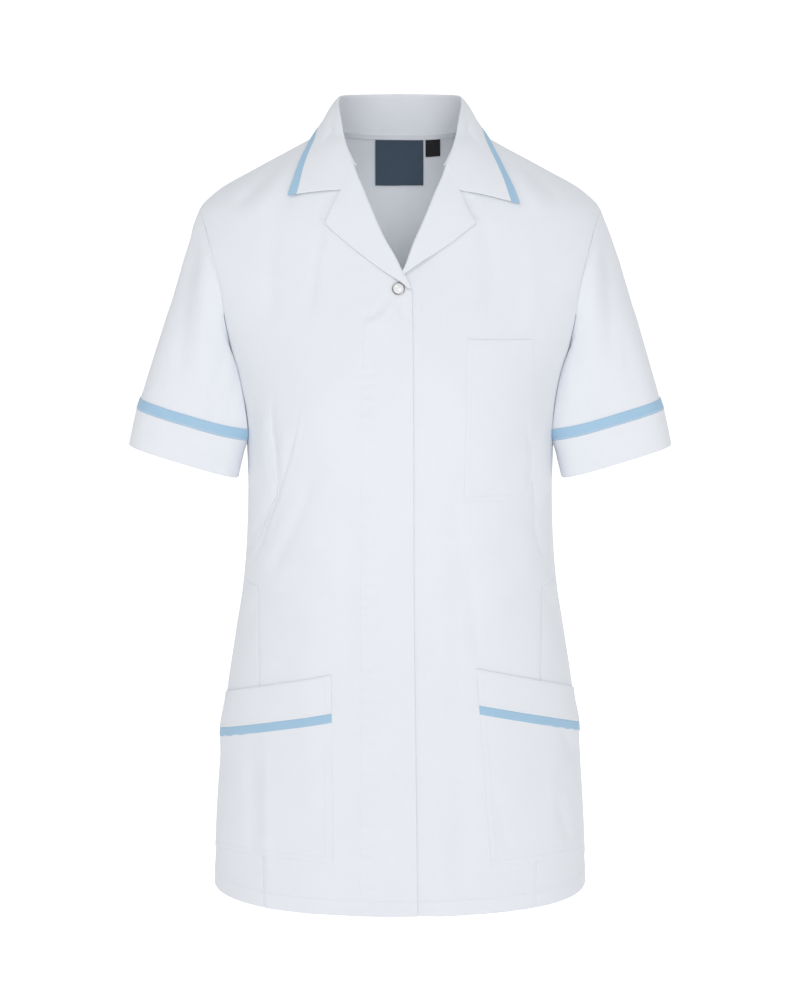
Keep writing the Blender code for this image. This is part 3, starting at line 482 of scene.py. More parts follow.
# The floor glows more behind the garment, from the first of these places to the second
FLOOR_GLOW = 0.7
FRONT_GLOW = 0.3
GLOW_FROM_Y, GLOW_TO_Y = 0.5, 1.1
LIGHTS = (
    {"name": "front", "place": (0.7, -3.4, 0.9), "aim": (0, 0, -0.2), "size": (1.0, 1.0),
     "power": 25.5},
    {"name": "key", "place": (-1.3, -2.4, 2.4), "aim": (0, 0, -0.3), "size": (1.2, 1.2),
     "power": 18.5},
    {"name": "back", "place": (0.8, 3.0, 2.2), "aim": (0, 0, -0.3), "size": (2.4, 1.6),
     "power": 17},
    {"name": "inside", "place": (0, -0.045, -0.115), "aim": (0, 0.1, -0.085),
     "size": (0.1, 0.05), "power": 0.0145, "spread": math.radians(90)},
)
CAMERA_LENS = 110.16
CAMERA_PLACE = (0.0, -3.0, 0.24)
CAMERA_DOWN = 11.49


def curve(table, at):
    """Value of a table of (place, value) read as a curve that doesn't overshoot."""
    rows = np.array(sorted(table), dtype=float)
    places, values = rows[:, 0], rows[:, 1]
    steps = np.diff(places)
    slopes = np.diff(values) / steps
    before, after = slopes[:-1], slopes[1:]
    same_way = before * after > 0
    total = np.where(same_way, before + after, 1.0)
    inner = np.where(same_way, 2 * before * after / total, 0.0)
    tangents = np.concatenate((slopes[:1], inner, slopes[-1:]))
    at = np.clip(at, places[0], places[-1])
    k = np.clip(np.searchsorted(places, at, side="right") - 1, 0, len(steps) - 1)
    t = (at - places[k]) / steps[k]
    rise = values[k + 1] - values[k]
    bend_in, bend_out = tangents[k] * steps[k], tangents[k + 1] * steps[k]
    return (values[k] + bend_in * t + (3 * rise - 2 * bend_in - bend_out) * t ** 2
            + (bend_in + bend_out - 2 * rise) * t ** 3)


def straight(table, at):
    """Value of a table of (place, value) read as straight runs."""
    rows = np.array(sorted(table), dtype=float)
    return np.interp(at, rows[:, 0], rows[:, 1])


def ease(t):
    """0 up to t 0, 1 from t 1 on, and a smooth rise between."""
    t = np.clip(t, 0.0, 1.0)
    return t * t * (3 - 2 * t)


def onward(t, start):
    """A smooth rise from 0 at the start to 1 at t 1."""
    return ease((t - start) / (1 - start))


def bump(apart, width):
    """A smooth bump: 1 at its middle, and near 0 past twice its width."""
    return np.exp(-(apart / width) ** 2)


def unit(vectors):
    return vectors / np.maximum(np.linalg.norm(vectors, axis=-1, keepdims=True), 1e-9)


def stack(x, y, z):
    return np.stack(np.broadcast_arrays(x, y, z), axis=-1).astype(float)


def mix(p, q, t):
    """Points between p and q. t may be an array."""
    t = np.asarray(t, dtype=float)[..., None]
    return p + (q - p) * t


SECTION_CURVES = [[(row[0], row[column]) for row in SECTIONS] for column in range(1, 5)]


def section(z):
    """Half width, front depth, back depth and roundness of the body at a height."""
    return [curve(table, z) for table in SECTION_CURVES]


def form(turn, z):
    """Points of the body's outer face. turn is 0 at the front, a quarter turn at +X."""
    half, front, back, roundness = section(z)
    across, along = np.sin(turn), np.cos(turn)
    x = np.sign(across) * np.abs(across) ** (2 / roundness) * half
    depth = np.where(along > 0, front, back)
    y = -np.sign(along) * np.abs(along) ** (2 / roundness) * depth
    away = ((np.abs(x) - BUST_X) / BUST_SPREAD) ** 2 + ((z - BUST_Z) / BUST_SPREAD) ** 2
    y = y - np.where(along > 0, BUST_RISE * np.exp(-away) * along, 0.0)
    return stack(x, y, z)


def form_normal(turn, z):
    """Directions square to the form, pointing away from the body."""
    small_turn, small_z = 1e-3, 0.2
    around = form(turn + small_turn, z) - form(turn - small_turn, z)
    upward = form(turn, z + small_z) - form(turn, z - small_z)
    return unit(np.cross(around, upward))


def turn_at_x(z, x):
    """Turn from the front at which the form is x across."""
    half, _, _, roundness = section(z)
    share = np.clip(np.abs(x) / half, 0.0, 1.0)
    return np.sign(x) * np.arcsin(share ** (roundness / 2))


def turn_at_y(z, y):
    """Turn from the nearer of the front and the back where the depth is y."""
    _, front, back, roundness = section(z)
    depth = np.where(np.asarray(y) < 0, front, back)
    return np.arccos(np.clip(np.abs(y) / depth, 0.0, 1.0) ** (roundness / 2))


def fold_height(table, x, z):
    """Sum of the heights of a table's folds at places (x, z)."""
    total = np.zeros(np.shape(x))
    for height, width, *places in table:
        line = np.array(places, dtype=float).reshape(-1, 2)
        lengths = np.linalg.norm(np.diff(line, axis=0), axis=1)
        nearest = np.full(np.shape(x), 1e9)
        along = np.zeros(np.shape(x))
        passed = 0.0
        for start, end, length in zip(line, line[1:], lengths):
            way = (end - start) / length
            t = np.clip((x - start[0]) * way[0] + (z - start[1]) * way[1], 0.0, length)
            apart = np.hypot(x - start[0] - way[0] * t, z - start[1] - way[1] * t)
            closer = apart < nearest
            nearest = np.where(closer, apart, nearest)
            along = np.where(closer, (passed + t) / lengths.sum(), along)
            passed += length
        fade = ease(along / FOLD_FADE) * ease((1 - along) / FOLD_FADE)
        total += height * bump(nearest, width) * fade
    return total


def uneven(x, z):
    return sum(height * np.sin(along * x + up * z + start) for height, along, up, start in UNEVEN)


def puckers(x, z):
    """Small uneven ripples that the fly's stitching draws into the right front."""
    wander = 1.7 * np.sin(z * 0.083)
    beat = np.sin(z * 0.52 + wander) + 0.6 * np.sin(z * 0.81 + x * 0.2 + 0.7)
    strong = 0.3 + 0.7 * np.sin(z * 0.021 + 0.6) ** 2
    down = ease((PUCKER_FROM_Z - z) / PUCKER_FADE)
    return PUCKER * beat * strong * down * bump(x - PUCKER_X, PUCKER_SPREAD)


def relief(points):
    """Height of the body's folds. They end at the seams between front and back."""
    x, y, z = points[..., 0], points[..., 1], points[..., 2]
    folds = fold_height(FRONT_FOLDS, x, z) + uneven(x, z) + puckers(x, z)
    front = ease((-y - FOLD_END_Y) / FOLD_END_WIDTH) * folds
    folds = fold_height(BACK_FOLDS, x, z) + uneven(x + BACK_UNEVEN_AT, z)
    return front + ease((y - FOLD_END_Y) / FOLD_END_WIDTH) * folds


def cloth(turn, z, lift=0.0):
    """Points on the folded cloth of the body, and their normals."""
    points = form(turn, z)
    normals = form_normal(turn, z)
    return points + normals * (relief(points) + lift)[..., None], normals


def on_front(x, z, lift=0.0):
    """Points of the folded cloth at x on the front."""
    x, z = np.broadcast_arrays(np.asarray(x, dtype=float), np.asarray(z, dtype=float))
    return cloth(turn_at_x(z, x), z, lift)


def grid_normals(points, closed=False):
    """Normals of a grid of points, from the points beside each one."""
    if closed:
        ring = points[:, :-1]
        around = np.roll(ring, -1, axis=1) - np.roll(ring, 1, axis=1)
        around = np.concatenate((around, around[:, :1]), axis=1)
    else:
        around = np.gradient(points, axis=1)
    along = np.gradient(points, axis=0)
    return unit(np.cross(around, along))


def ticks(length, low=True, high=True, step=STEP):
    """Shares from 0 to 1 along a length, closer together at the rims that are named."""
    start = RIM_STEPS if low else (0.0,)
    end = RIM_STEPS if high else (0.0,)
    count = max(2, round((length - start[-1] - end[-1]) / step))
    middle = np.linspace(start[-1], length - end[-1], count + 1)
    places = np.concatenate((start[:-1], middle, length - np.array(end[:-1])[::-1]))
    return places / length


def measure(points, axis):
    """Distance along a grid's rows (axis 1) or columns (axis 0)."""
    steps = np.linalg.norm(np.diff(points, axis=axis), axis=-1)
    start = np.zeros_like(steps.take([0], axis=axis))
    return np.concatenate((start, np.cumsum(steps, axis=axis)), axis=axis)


def rim_factor(points, top=FREE_RIM, bottom=FREE_RIM, left=FREE_RIM, right=FREE_RIM):
    """0 at a shell's rims and 1 inside them, as quarter circles. Each rim has its radius."""
    across, down = measure(points, 1), measure(points, 0)
    factor = np.ones(points.shape[:2])
    for radius, apart in ((top, down), (bottom, down[-1:] - down), (left, across),
                          (right, across[:, -1:] - across)):
        if radius:
            share = np.clip(apart / radius, 0.0, 1.0)
            factor = np.minimum(factor, np.sqrt(1 - (1 - share) ** 2))
    return factor


class Shell:
    """A closed thin body of cloth with round rims, from grids of points."""

    def __init__(self):
        self.numbers = {}
        self.outer, self.inner, self.shared = [], [], []
        self.faces, self.weave = [], []

    def grid(self, points, normals, low, high, rims):
        """Add a grid. low and high are its faces' heights along the normals."""
        low = np.broadcast_to(low, rims.shape)
        high = np.broadcast_to(high, rims.shape)
        middle, half = (low + high) / 2, (high - low) / 2
        outer = points + normals * (middle + half * rims)[..., None]
        inner = points + normals * (middle - half * rims)[..., None]
        ids = np.empty(rims.shape, dtype=int)
        for place in np.ndindex(rims.shape):
            key = tuple(np.round(points[place], 3).tolist())
            if key not in self.numbers:
                self.numbers[key] = len(self.outer)
                self.outer.append(outer[place])
                self.inner.append(inner[place])
                self.shared.append(rims[place] < 1e-6)
            ids[place] = self.numbers[key]
        corners = [(slice(None, -1), slice(None, -1)), (slice(None, -1), slice(1, None)),
                   (slice(1, None), slice(1, None)), (slice(1, None), slice(None, -1))]
        faces = np.stack([ids[corner] for corner in corners], axis=-1).reshape(-1, 4)
        weave = np.stack((measure(points, 1), -measure(points, 0)), axis=-1) * MM
        weave = np.stack([weave[corner] for corner in corners], axis=2).reshape(-1, 4, 2)
        centre = points[:-1, :-1].reshape(-1, 3)
        across = points[:-1, 1:].reshape(-1, 3) - centre
        down = points[1:, :-1].reshape(-1, 3) - centre
        facing = np.einsum("ij,ij->i", np.cross(across, down), normals[:-1, :-1].reshape(-1, 3))
        if np.sum(facing) < 0:
            faces, weave = faces[:, ::-1], weave[:, ::-1]
        whole = np.array([len(set(face)) == 4 for face in faces.tolist()])
        self.faces.append(faces[whole])
        self.weave.append(weave[whole])

    def build(self, name, material):
        outer, inner = np.array(self.outer), np.array(self.inner)
        shared = np.array(self.shared)
        faces, weave = np.concatenate(self.faces), np.concatenate(self.weave)
        below = np.where(shared, np.arange(len(outer)), len(outer) + np.cumsum(~shared) - 1)
        points = np.concatenate((outer, inner[~shared]))
        back_faces = below[faces[:, ::-1]]
        flat = np.all(np.sort(back_faces) == np.sort(faces), axis=1)
        return add_mesh(name, points, np.concatenate((faces, back_faces[~flat])).tolist(),
                        material, np.concatenate((weave, weave[~flat, ::-1])))


def add_mesh(name, points, faces, material, weave=None):
    """A smooth mesh object from points in millimetres, with the weave's map if it has one."""
    mesh = bpy.data.meshes.new(name)
    mesh.from_pydata((points * MM).tolist(), [], faces)
    if weave is not None:
        layer = mesh.uv_layers.new(name="weave")
        layer.data.foreach_set("uv", np.asarray(weave, dtype=np.float32).ravel())
    mesh.materials.append(material)
    mesh.shade_smooth()
    piece = bpy.data.objects.new(name, mesh)
    bpy.context.scene.collection.objects.link(piece)
    return piece


def simple_shell(name, points, normals, low, high, material, **rims):
    """A shell of one grid."""
    shell = Shell()
    shell.grid(points, normals, low, high, rim_factor(points, **rims))
    return shell.build(name, material)


def panel_rows():
    """Heights of the body's rows: shoulder, armhole, ribs and skirt."""
    shoulder = ticks(-SHOULDER_TIP_Z, high=False, step=SHOULDER_STEP)
    shoulder = TOP_Z + (SHOULDER_TIP_Z - TOP_Z) * shoulder
    turns = np.linspace(0, math.pi, ARMHOLE_ROWS + 1)
    armhole = ARMHOLE_MIDDLE_Z + ARMHOLE_REACH * np.cos(turns)
    ribs = UNDERARM_Z + (SIDE_PANEL_TOP_Z - UNDERARM_Z) * ticks(UNDERARM_Z - SIDE_PANEL_TOP_Z, False)
    skirt = SIDE_PANEL_TOP_Z + (HEM_Z - SIDE_PANEL_TOP_Z) * ticks(SIDE_PANEL_TOP_Z - HEM_Z)
    return np.concatenate((shoulder[:-1], armhole[:-1], ribs)), skirt


UPPER_ROWS, SKIRT_ROWS = panel_rows()


def armhole_y(z):
    """Half depth of the armhole at a height, or 0 outside its range."""
    up = (z - ARMHOLE_MIDDLE_Z) / ARMHOLE_REACH
    return ARMHOLE_HALF_DEPTH * np.sqrt(np.maximum(0.0, 1 - up * up))


def side_turn(z, facing):
    """Turn of the panel's side edge: side seam, armhole or shoulder seam."""
    y = armhole_y(z)
    return turn_at_y(z, -y - 1e-6 if facing == "front" else y)


def neck_shift(z, side):
    """The foot of the neck opening lies a little to the wearer's left of the middle."""
    share = (NECK_SHIFT_FROM_Z - z) / (NECK_SHIFT_FROM_Z - NECK_SHIFT_TO_Z)
    return NECK_SHIFT * side * ease(share)


def front_inner(z, side):
    """Distance of a front's inner edge on its own side of the middle."""
    above = curve(NECK_EDGE, z) + neck_shift(z, side)
    below = straight(UNDER_EDGE if side > 0 else LAP_EDGE, z)
    return np.where(z >= NECK_EDGE[0][0], above, below)


def under_lift(x):
    """How far the under front lies below the form, near the lap."""
    return UNDER_DIP * (1 - ease((x - DIP_FROM_X) / (DIP_TO_X - DIP_FROM_X)))


def seam_dip(apart):
    """Depth of the cloth beside a seam."""
    return SEAM_DIP * bump(apart, SEAM_DIP_WIDTH)


def tuck_grid(places, way, width, height, side):
    """A thin wedge of cloth along a crisp edge: points, normals, heights and rims."""
    x, z = resample(places, TUCK_POINTS)
    along = np.linspace(0, 1, TUCK_POINTS)
    full = ease(along / TUCK_FADE) * ease((1 - along) / TUCK_FADE)
    ahead = unit(np.gradient(np.stack((x, z), axis=-1), axis=0))
    share, rise = np.array(TUCK_SLOPE).T
    at_x = x[:, None] - ahead[:, 1:] * way * width * share
    at_z = z[:, None] + ahead[:, :1] * way * width * share
    at_x = np.minimum(at_x, section(at_z)[0] - TUCK_END_GAP)
    points, normals = on_front(at_x * side, at_z)
    rims = np.ones(points.shape[:2])
    rims[:, [0, -1]] = 0.0
    rims[[0, -1]] = 0.0
    high = full[:, None] * rise * (height + TUCK_SUNK) - TUCK_SUNK
    return points, normals, high - TUCK_THICK - 0.5 * height * rise, high, rims


def front(side, word):
    """A front panel: full width down to the side panel, then its main part down to the hem."""
    seam_z = SIDE_PANEL_TOP_Z
    start = turn_at_x(seam_z, front_inner(seam_z, side))
    guide_at = turn_at_x(seam_z, straight(UPRIGHT_SEAM, seam_z))
    share = (guide_at - start) / (side_turn(seam_z, "front") - start)
    main = ticks(FRONT_WIDTH)
    outside = ticks(FRONT_SIDE_WIDTH, low=False)
    shell = Shell()
    for z, full in ((UPPER_ROWS[:, None], True), (SKIRT_ROWS[:, None], False)):
        edge = turn_at_x(z, front_inner(z, side))
        end = side_turn(z, "front")
        guide = edge + (end - edge) * share if full else turn_at_x(z, straight(UPRIGHT_SEAM, z))
        turn = edge + (guide - edge) * main
        if full:
            turn = np.concatenate((turn, (guide + (end - guide) * outside)[:, 1:]), axis=1)
        heights = np.broadcast_to(z, turn.shape)
        base = form(turn, heights)
        across = measure(base, 1)
        to_side = across[:, -1:] - across
        lift = seam_dip(to_side)
        low = -CLOTH
        if side > 0:
            lift = lift + np.where(heights < NECK_FOOT_Z, under_lift(base[..., 0]), 0.0)
        else:
            lap = (1 - ease(across / LAP_WIDTH)) * ease((LAP_FROM_Z - heights) / LAP_FADE)
            low = low + (LAP_LOW + CLOTH) * lap
        points, normals = cloth(turn * side, heights, lift)
        rims = rim_factor(points, top=full and SEAM_RIM, bottom=not full and FREE_RIM,
                          right=SEAM_RIM)
        if full:
            last = rim_factor(points[:, len(main) - 1:], top=None, bottom=SEAM_RIM, left=None,
                              right=SEAM_RIM)
            rims[:, len(main) - 1:] = np.minimum(rims[:, len(main) - 1:], last)
        shell.grid(points, normals, low, 0.0, rims)
    for places, way, width, height in TUCKS[side]:
        shell.grid(*tuck_grid(places, way, width, height, side))
    return shell.build(f"front_{word}_cloth", WHITE)


def side_panel(side, word):
    """The panel between a front's upright seam and the side seam."""
    z = SKIRT_ROWS[:, None]
    start = turn_at_x(z, straight(UPRIGHT_SEAM, z))
    turn = start + (side_turn(z, "front") - start) * ticks(SIDE_PANEL_WIDTH)
    heights = np.broadcast_to(z, turn.shape)
    base = form(turn, heights)
    across = measure(base, 1)
    lift = seam_dip(across[:, -1:] - across) + 0.5 * seam_dip(across)
    points, normals = cloth(turn * side, heights, lift)
    return simple_shell(f"side_panel_{word}_cloth", points, normals, -CLOTH, 0.0, WHITE,
                        top=SEAM_RIM, left=SEAM_RIM, right=SEAM_RIM)


def back_neck_z(x):
    """Height of the back neck edge, which dips to its middle."""
    return BACK_NECK_Z * (1 - np.abs(x / section(0.0)[0]) ** 3)


def back():
    """The back panel: columns below the neck bend to the neck edge."""
    neck_half = section(0.0)[0]
    z = np.concatenate((UPPER_ROWS, SKIRT_ROWS[1:]))[:, None]
    x = neck_half * np.linspace(0, 1, BACK_NECK_COLUMNS)
    top = back_neck_z(x) + TOP_Z
    bent = BACK_BEND_Z + (top - BACK_BEND_Z) * (z - BACK_BEND_Z) / (TOP_Z - BACK_BEND_Z)
    heights = np.where(z > BACK_BEND_Z, bent, z)
    turn = turn_at_x(heights, np.broadcast_to(x, heights.shape))
    start = turn_at_x(z, neck_half)
    beside = ticks(BACK_SIDE_WIDTH, low=False)
    side_part = (start + (side_turn(z, "back") - start) * beside)[:, 1:]
    turn = np.concatenate((turn, side_part), axis=1)
    heights = np.concatenate((heights, np.broadcast_to(z, side_part.shape)), axis=1)
    turn = math.pi - np.concatenate((-turn[:, :0:-1], turn), axis=1)
    heights = np.concatenate((heights[:, :0:-1], heights), axis=1)
    across = measure(form(turn, heights), 1)
    lift = seam_dip(np.minimum(across, across[:, -1:] - across))
    points, normals = cloth(turn, heights, lift)
    return simple_shell("back_cloth", points, normals, -CLOTH, 0.0, WHITE,
                        top=SEAM_RIM, left=SEAM_RIM, right=SEAM_RIM)


SLEEVE_OUT = np.array((math.cos(CUFF_SLOPE), 0.0, math.sin(CUFF_SLOPE)))
SLEEVE_FORWARD = np.array((0.0, -math.cos(CUFF_PITCH), math.sin(CUFF_PITCH)))
SLEEVE_AXIS = unit(np.array((math.sin(CUFF_SLOPE), -math.sin(CUFF_PITCH), -math.cos(CUFF_SLOPE))))


def sleeve_columns():
    """Angles round the sleeve and armhole points, top to front to under to back to top."""
    z = ARMHOLE_MIDDLE_Z + ARMHOLE_REACH * np.cos(np.linspace(0, math.pi, ARMHOLE_ROWS + 1))
    up = np.arccos(np.clip((z - ARMHOLE_MIDDLE_Z) / ARMHOLE_REACH, -1, 1))
    lift = SEAM_DIP - SLEEVE_SUNK
    front_edge = cloth(side_turn(z, "front"), z, lift)[0]
    back_edge = cloth(math.pi - side_turn(z, "back"), z, lift)[0]
    angles = np.concatenate((up, 2 * math.pi - up[-2::-1]))
    return angles, np.concatenate((front_edge, back_edge[-2::-1]))


def sleeve_ring(ring, angle):
    """Points of a ring about square to the lower sleeve."""
    centre = np.array((ring["x"], ring["y"], ring["z"]))
    across, along = (np.sign(value) * np.abs(value) ** (2 / SLEEVE_ROUNDNESS)
                     for value in (np.cos(angle), np.sin(angle)))
    point = centre + ring["half_width"] * across[..., None] * SLEEVE_OUT
    return point + ring["half_depth"] * along[..., None] * SLEEVE_FORWARD


def leave(angle):
    """Directions in which the sleeve leaves the armhole."""
    over, across = np.cos(angle), np.sin(angle)
    side = stack(LEAVE_SIDE[0], -LEAVE_SIDE[1] * across, LEAVE_SIDE[2])
    end = np.where(over[..., None] > 0, np.array(LEAVE_TOP), np.array(LEAVE_UNDER))
    return unit(mix(side, end, over * over))


def pushed_out(points, rest):
    """The points, moved out along the form's normals until they clear the form by rest."""
    x, y, z = points[..., 0], points[..., 1], points[..., 2]
    half, front_depth, back_depth, roundness = section(z)
    depth = np.where(y < 0, front_depth, back_depth)
    across = (np.abs(x) / half) ** (roundness / 2)
    along = (np.abs(y) / depth) ** (roundness / 2)
    turn = np.arctan2(across, along)
    turn = np.where(y > 0, math.pi - turn, turn) * np.where(x < 0, -1, 1)
    normals = form_normal(turn, z)
    apart = np.sum((points - form(turn, z)) * normals, axis=-1)
    return points + normals * np.maximum(0.0, rest - apart)[..., None]


def settled(points, angles, t, side):
    """A sleeve's points with the inner front drawn to the body and the outer edge moved."""
    inner = bump(angles - REACH_ANGLE, REACH_SPREAD) * curve(INNER_REACH, t)
    outer = np.maximum(np.cos(angles), 0) * curve(OUTER_REACH[side], t)
    moved = points - stack(inner + outer, 0, 0)
    return pushed_out(moved, BODY_CLEARANCE * ease(t / CLEAR_FROM))


def sleeve_surface(angles, starts, t, side):
    """Grid of the sleeve's outer face from the armhole (t 0) to the cuff (t 1)."""
    t = t[:, None] if t.ndim == 1 else t
    away = leave(angles)
    starts = starts - away * SLEEVE_TUCK
    end = sleeve_ring(CUFF_TOP, angles)
    length = np.linalg.norm(end - starts, axis=-1)[:, None]
    t3 = t[..., None]
    points = ((2 * t3 ** 3 - 3 * t3 ** 2 + 1) * starts + (3 * t3 ** 2 - 2 * t3 ** 3) * end
              + (t3 ** 3 - 2 * t3 ** 2 + t3) * length * START_PULL * away
              + (t3 ** 3 - t3 ** 2) * length * SLEEVE_AXIS)
    return settled(points, angles, t, side)


def sleeve_relief(points, normals, side):
    """Height of a sleeve's folds, for the wearer's left and mirrored for the right."""
    x, z = points[..., 0], points[..., 2]
    facing = normals[..., 1]
    front_part, back_part = (
        ease((way * facing - SLEEVE_FACING_FROM) / SLEEVE_FACING_FADE) * fold_height(folds, x, z)
        for way, folds in ((-1, SLEEVE_FRONT_FOLDS[side]), (1, SLEEVE_BACK_FOLDS)))
    return front_part + back_part + uneven(x + SLEEVE_UNEVEN_AT * side, z + points[..., 1])


def tube(name, points, side, low, high, material, fade=1.0, top=FREE_RIM):
    """A tube of cloth with the sleeve's folds: the piece, and its points and normals."""
    normals = grid_normals(points, closed=True)
    if np.sum(normals[..., 0] * (points[..., 0] - points[..., 0].mean())) < 0:
        normals = -normals
    height = sleeve_relief(points, normals, side) * fade
    points = mirrored(points + normals * height[..., None], side)
    normals = mirrored(normals, side)
    piece = simple_shell(name, points, normals, low, high, material, top=top, left=None,
                         right=None)
    return piece, (points, normals)


def mirrored(points, side):
    return points * np.array((side, 1, 1))


def sleeve(side, word):
    """A sleeve, the trim strip above the cuff and the cuff band, and their stitch rows."""
    angles, starts = sleeve_columns()
    t = ticks(SLEEVE_LENGTH)
    body, _ = tube(f"sleeve_{word}_cloth", sleeve_surface(angles, starts, t, side), side,
                   -CLOTH, 0.0, WHITE, ease(t / SLEEVE_FOLDS_BY)[:, None], SEAM_RIM)

    length = np.linalg.norm(sleeve_ring(CUFF_TOP, angles) - starts, axis=-1)
    t = 1 - TRIM_HEIGHT / length * (1 - ticks(TRIM_HEIGHT, step=1.3))[:, None]
    trim_high = TRIM_LOW + TRIM_THICK
    trim, trim_grid = tube(f"cuff_trim_{word}_cloth", sleeve_surface(angles, starts, t, side),
                           side, TRIM_LOW, trim_high, BLUE)

    down = ticks(CUFF_HEIGHT)[:, None] * np.ones(angles.shape)
    points = mix(sleeve_ring(CUFF_TOP, angles), sleeve_ring(CUFF_HEM, angles), down)
    cuff, cuff_grid = tube(f"cuff_{word}_cloth", settled(points, angles, 1 + down, side), side,
                           CUFF_LOW, CUFF_HIGH, WHITE)
    sewn = [(trim_grid, TRIM_SEWN_ROW, trim_high)]
    sewn += [(cuff_grid, row, CUFF_SEWN) for row in CUFF_SEWN_ROWS]
    rows = [(points[row] + normals[row] * lift, normals[row])
            for (points, normals), row, lift in sewn]
    return (body, trim, cuff), rows


def lapel(side, word):
    """The folded-back top of a front, with the round fold and the cloth that runs back inside."""
    low_rows = ticks(LAPEL_LOW_LENGTH, high=False) * LAPEL_CORNER_AT
    high_rows = ticks(LAPEL_HIGH_LENGTH, low=False)[1:]
    along = np.concatenate((low_rows, LAPEL_CORNER_AT + (1 - LAPEL_CORNER_AT) * high_rows))
    roll_z = ROLL_FOOT[side] + (ROLL_TOP - ROLL_FOOT[side]) * along
    roll_x = curve(ROLL_ON_LAP + ROLL_LINE, roll_z)
    corner, top = np.array(LAPEL_CORNER), np.array(LAPEL_TOP)
    edge = np.array(LAPEL_LOW_EDGE[side], dtype=float)
    run = measure(edge[None], 1)[0]
    at = np.clip(along / LAPEL_CORNER_AT, 0, 1) * run[-1]
    low_part = np.stack((np.interp(at, run, edge[:, 0]), np.interp(at, run, edge[:, 1])), axis=-1)
    high_part = mix(corner, top, np.clip((along - LAPEL_CORNER_AT) / (1 - LAPEL_CORNER_AT), 0, 1))
    free = np.where((along <= LAPEL_CORNER_AT)[:, None], low_part, high_part)
    roll = np.stack((roll_z, roll_x), axis=-1)
    width = np.linalg.norm(free - roll, axis=-1)[:, None]
    bend = np.linspace(-math.pi / 2, math.pi / 2, ROLL_COLUMNS)
    radius = ROLL_RADIUS * np.clip(width / ROLL_FULL_WIDTH, ROLL_LEAST, 1.0)
    inside = np.linspace(1, 0, ROLL_INSIDE_COLUMNS + 1)[:-1]
    inside = (-ROLL_INSIDE + ROLL_RADIUS) * inside
    fade = 1 - onward(along, LAPEL_FADE_FROM)
    rise = (LAPEL_RISE * fade)[:, None]
    bight_in = -inside * radius / ROLL_RADIUS + radius
    bight = radius * (1 - np.cos(bend))
    outer = radius + (width - radius) * ticks(LAPEL_WIDTH, low=False)[1:]
    away = np.concatenate((bight_in, bight, outer), axis=1)
    top_lift = LAPEL_REST + rise * bump(outer, LAPEL_RISE_SPREAD)
    first = LAPEL_REST + rise
    bight_lift = (first + ROLL_LOW) / 2 + (first - ROLL_LOW) / 2 * np.sin(bend)
    lift = np.concatenate((np.full(bight_in.shape, ROLL_LOW), bight_lift, top_lift), axis=1)
    share = away / width
    place = roll[:, None] + (free - roll)[:, None] * share[..., None]
    z = place[..., 0]
    x = (place[..., 1] + neck_shift(z, side)) * side
    near_stud = np.exp(-((x - STUD_X) ** 2 + (z - STUD_Z) ** 2) / STUD_RISE_AREA)
    lift = lift + STUD_RISE * near_stud * (lift > 1)
    if side > 0:
        under = 1 - ease((x - LAPEL_DIP_X) / LAPEL_DIP_WIDTH)
        lift = lift + UNDER_DIP * under * ease((NECK_FOOT_Z - z) / LAPEL_DIP_HEIGHT)
    points, outward = on_front(x, z, lift)
    normals = grid_normals(points)
    if np.sum(normals[:, -5] * outward[:, -5]) < 0:
        normals = -normals
    return simple_shell(f"lapel_{word}_cloth", points, normals, -CLOTH / 2, CLOTH / 2, WHITE)


def neck_seam(s):
    """Points of the neck seam on the form, from the back (s 0) to the front end (s 1)."""
    back_x = section(0.0)[0] * np.sin(np.clip(s / SEAM_SIDE_AT, 0, 1) * math.pi / 2)
    back_z = back_neck_z(back_x)
    back_turn = math.pi - turn_at_x(back_z, back_x)
    front_z = SEAM_FRONT_Z * np.clip((s - SEAM_SIDE_AT) / (1 - SEAM_SIDE_AT), 0, 1) ** SEAM_DROP
    inside = curve(ROLL_LINE, front_z) - SEAM_INSIDE
    front_x = curve(NECK_EDGE, front_z)
    front_x = front_x + (inside - front_x) * onward(s, SEAM_INSIDE_FROM)
    front_turn = turn_at_x(front_z, front_x)
    turn = np.where(s <= SEAM_SIDE_AT, back_turn, front_turn)
    z = np.where(s <= SEAM_SIDE_AT, back_z, front_z)
    return form(turn, z) - form_normal(turn, z) * CLOTH / 2


def collar_station(s, side):
    """Fold and free edge at places s from 0 (back) to 1 (front)."""
    count = len(COLLAR_STATIONS) - 1
    values = [curve([(i / count, row[k]) for i, row in enumerate(COLLAR_STATIONS)], s)
              for k in range(6)]
    fold, free = stack(*values[:3]), stack(*values[3:])
    fold = fold + stack(FOLD_END_OUT * onward(s, FOLD_END_FROM), 0, 0)
    if side > 0:
        share = onward(s, LEFT_POINT_FROM)[..., None]
        free = free + np.array(LEFT_POINT_SHIFT) * share
    rest = np.where(s > GORGE_FROM, GORGE_REST * onward(s, GORGE_FROM), -99)
    return pushed_out(fold, rest), pushed_out(free, COLLAR_REST)


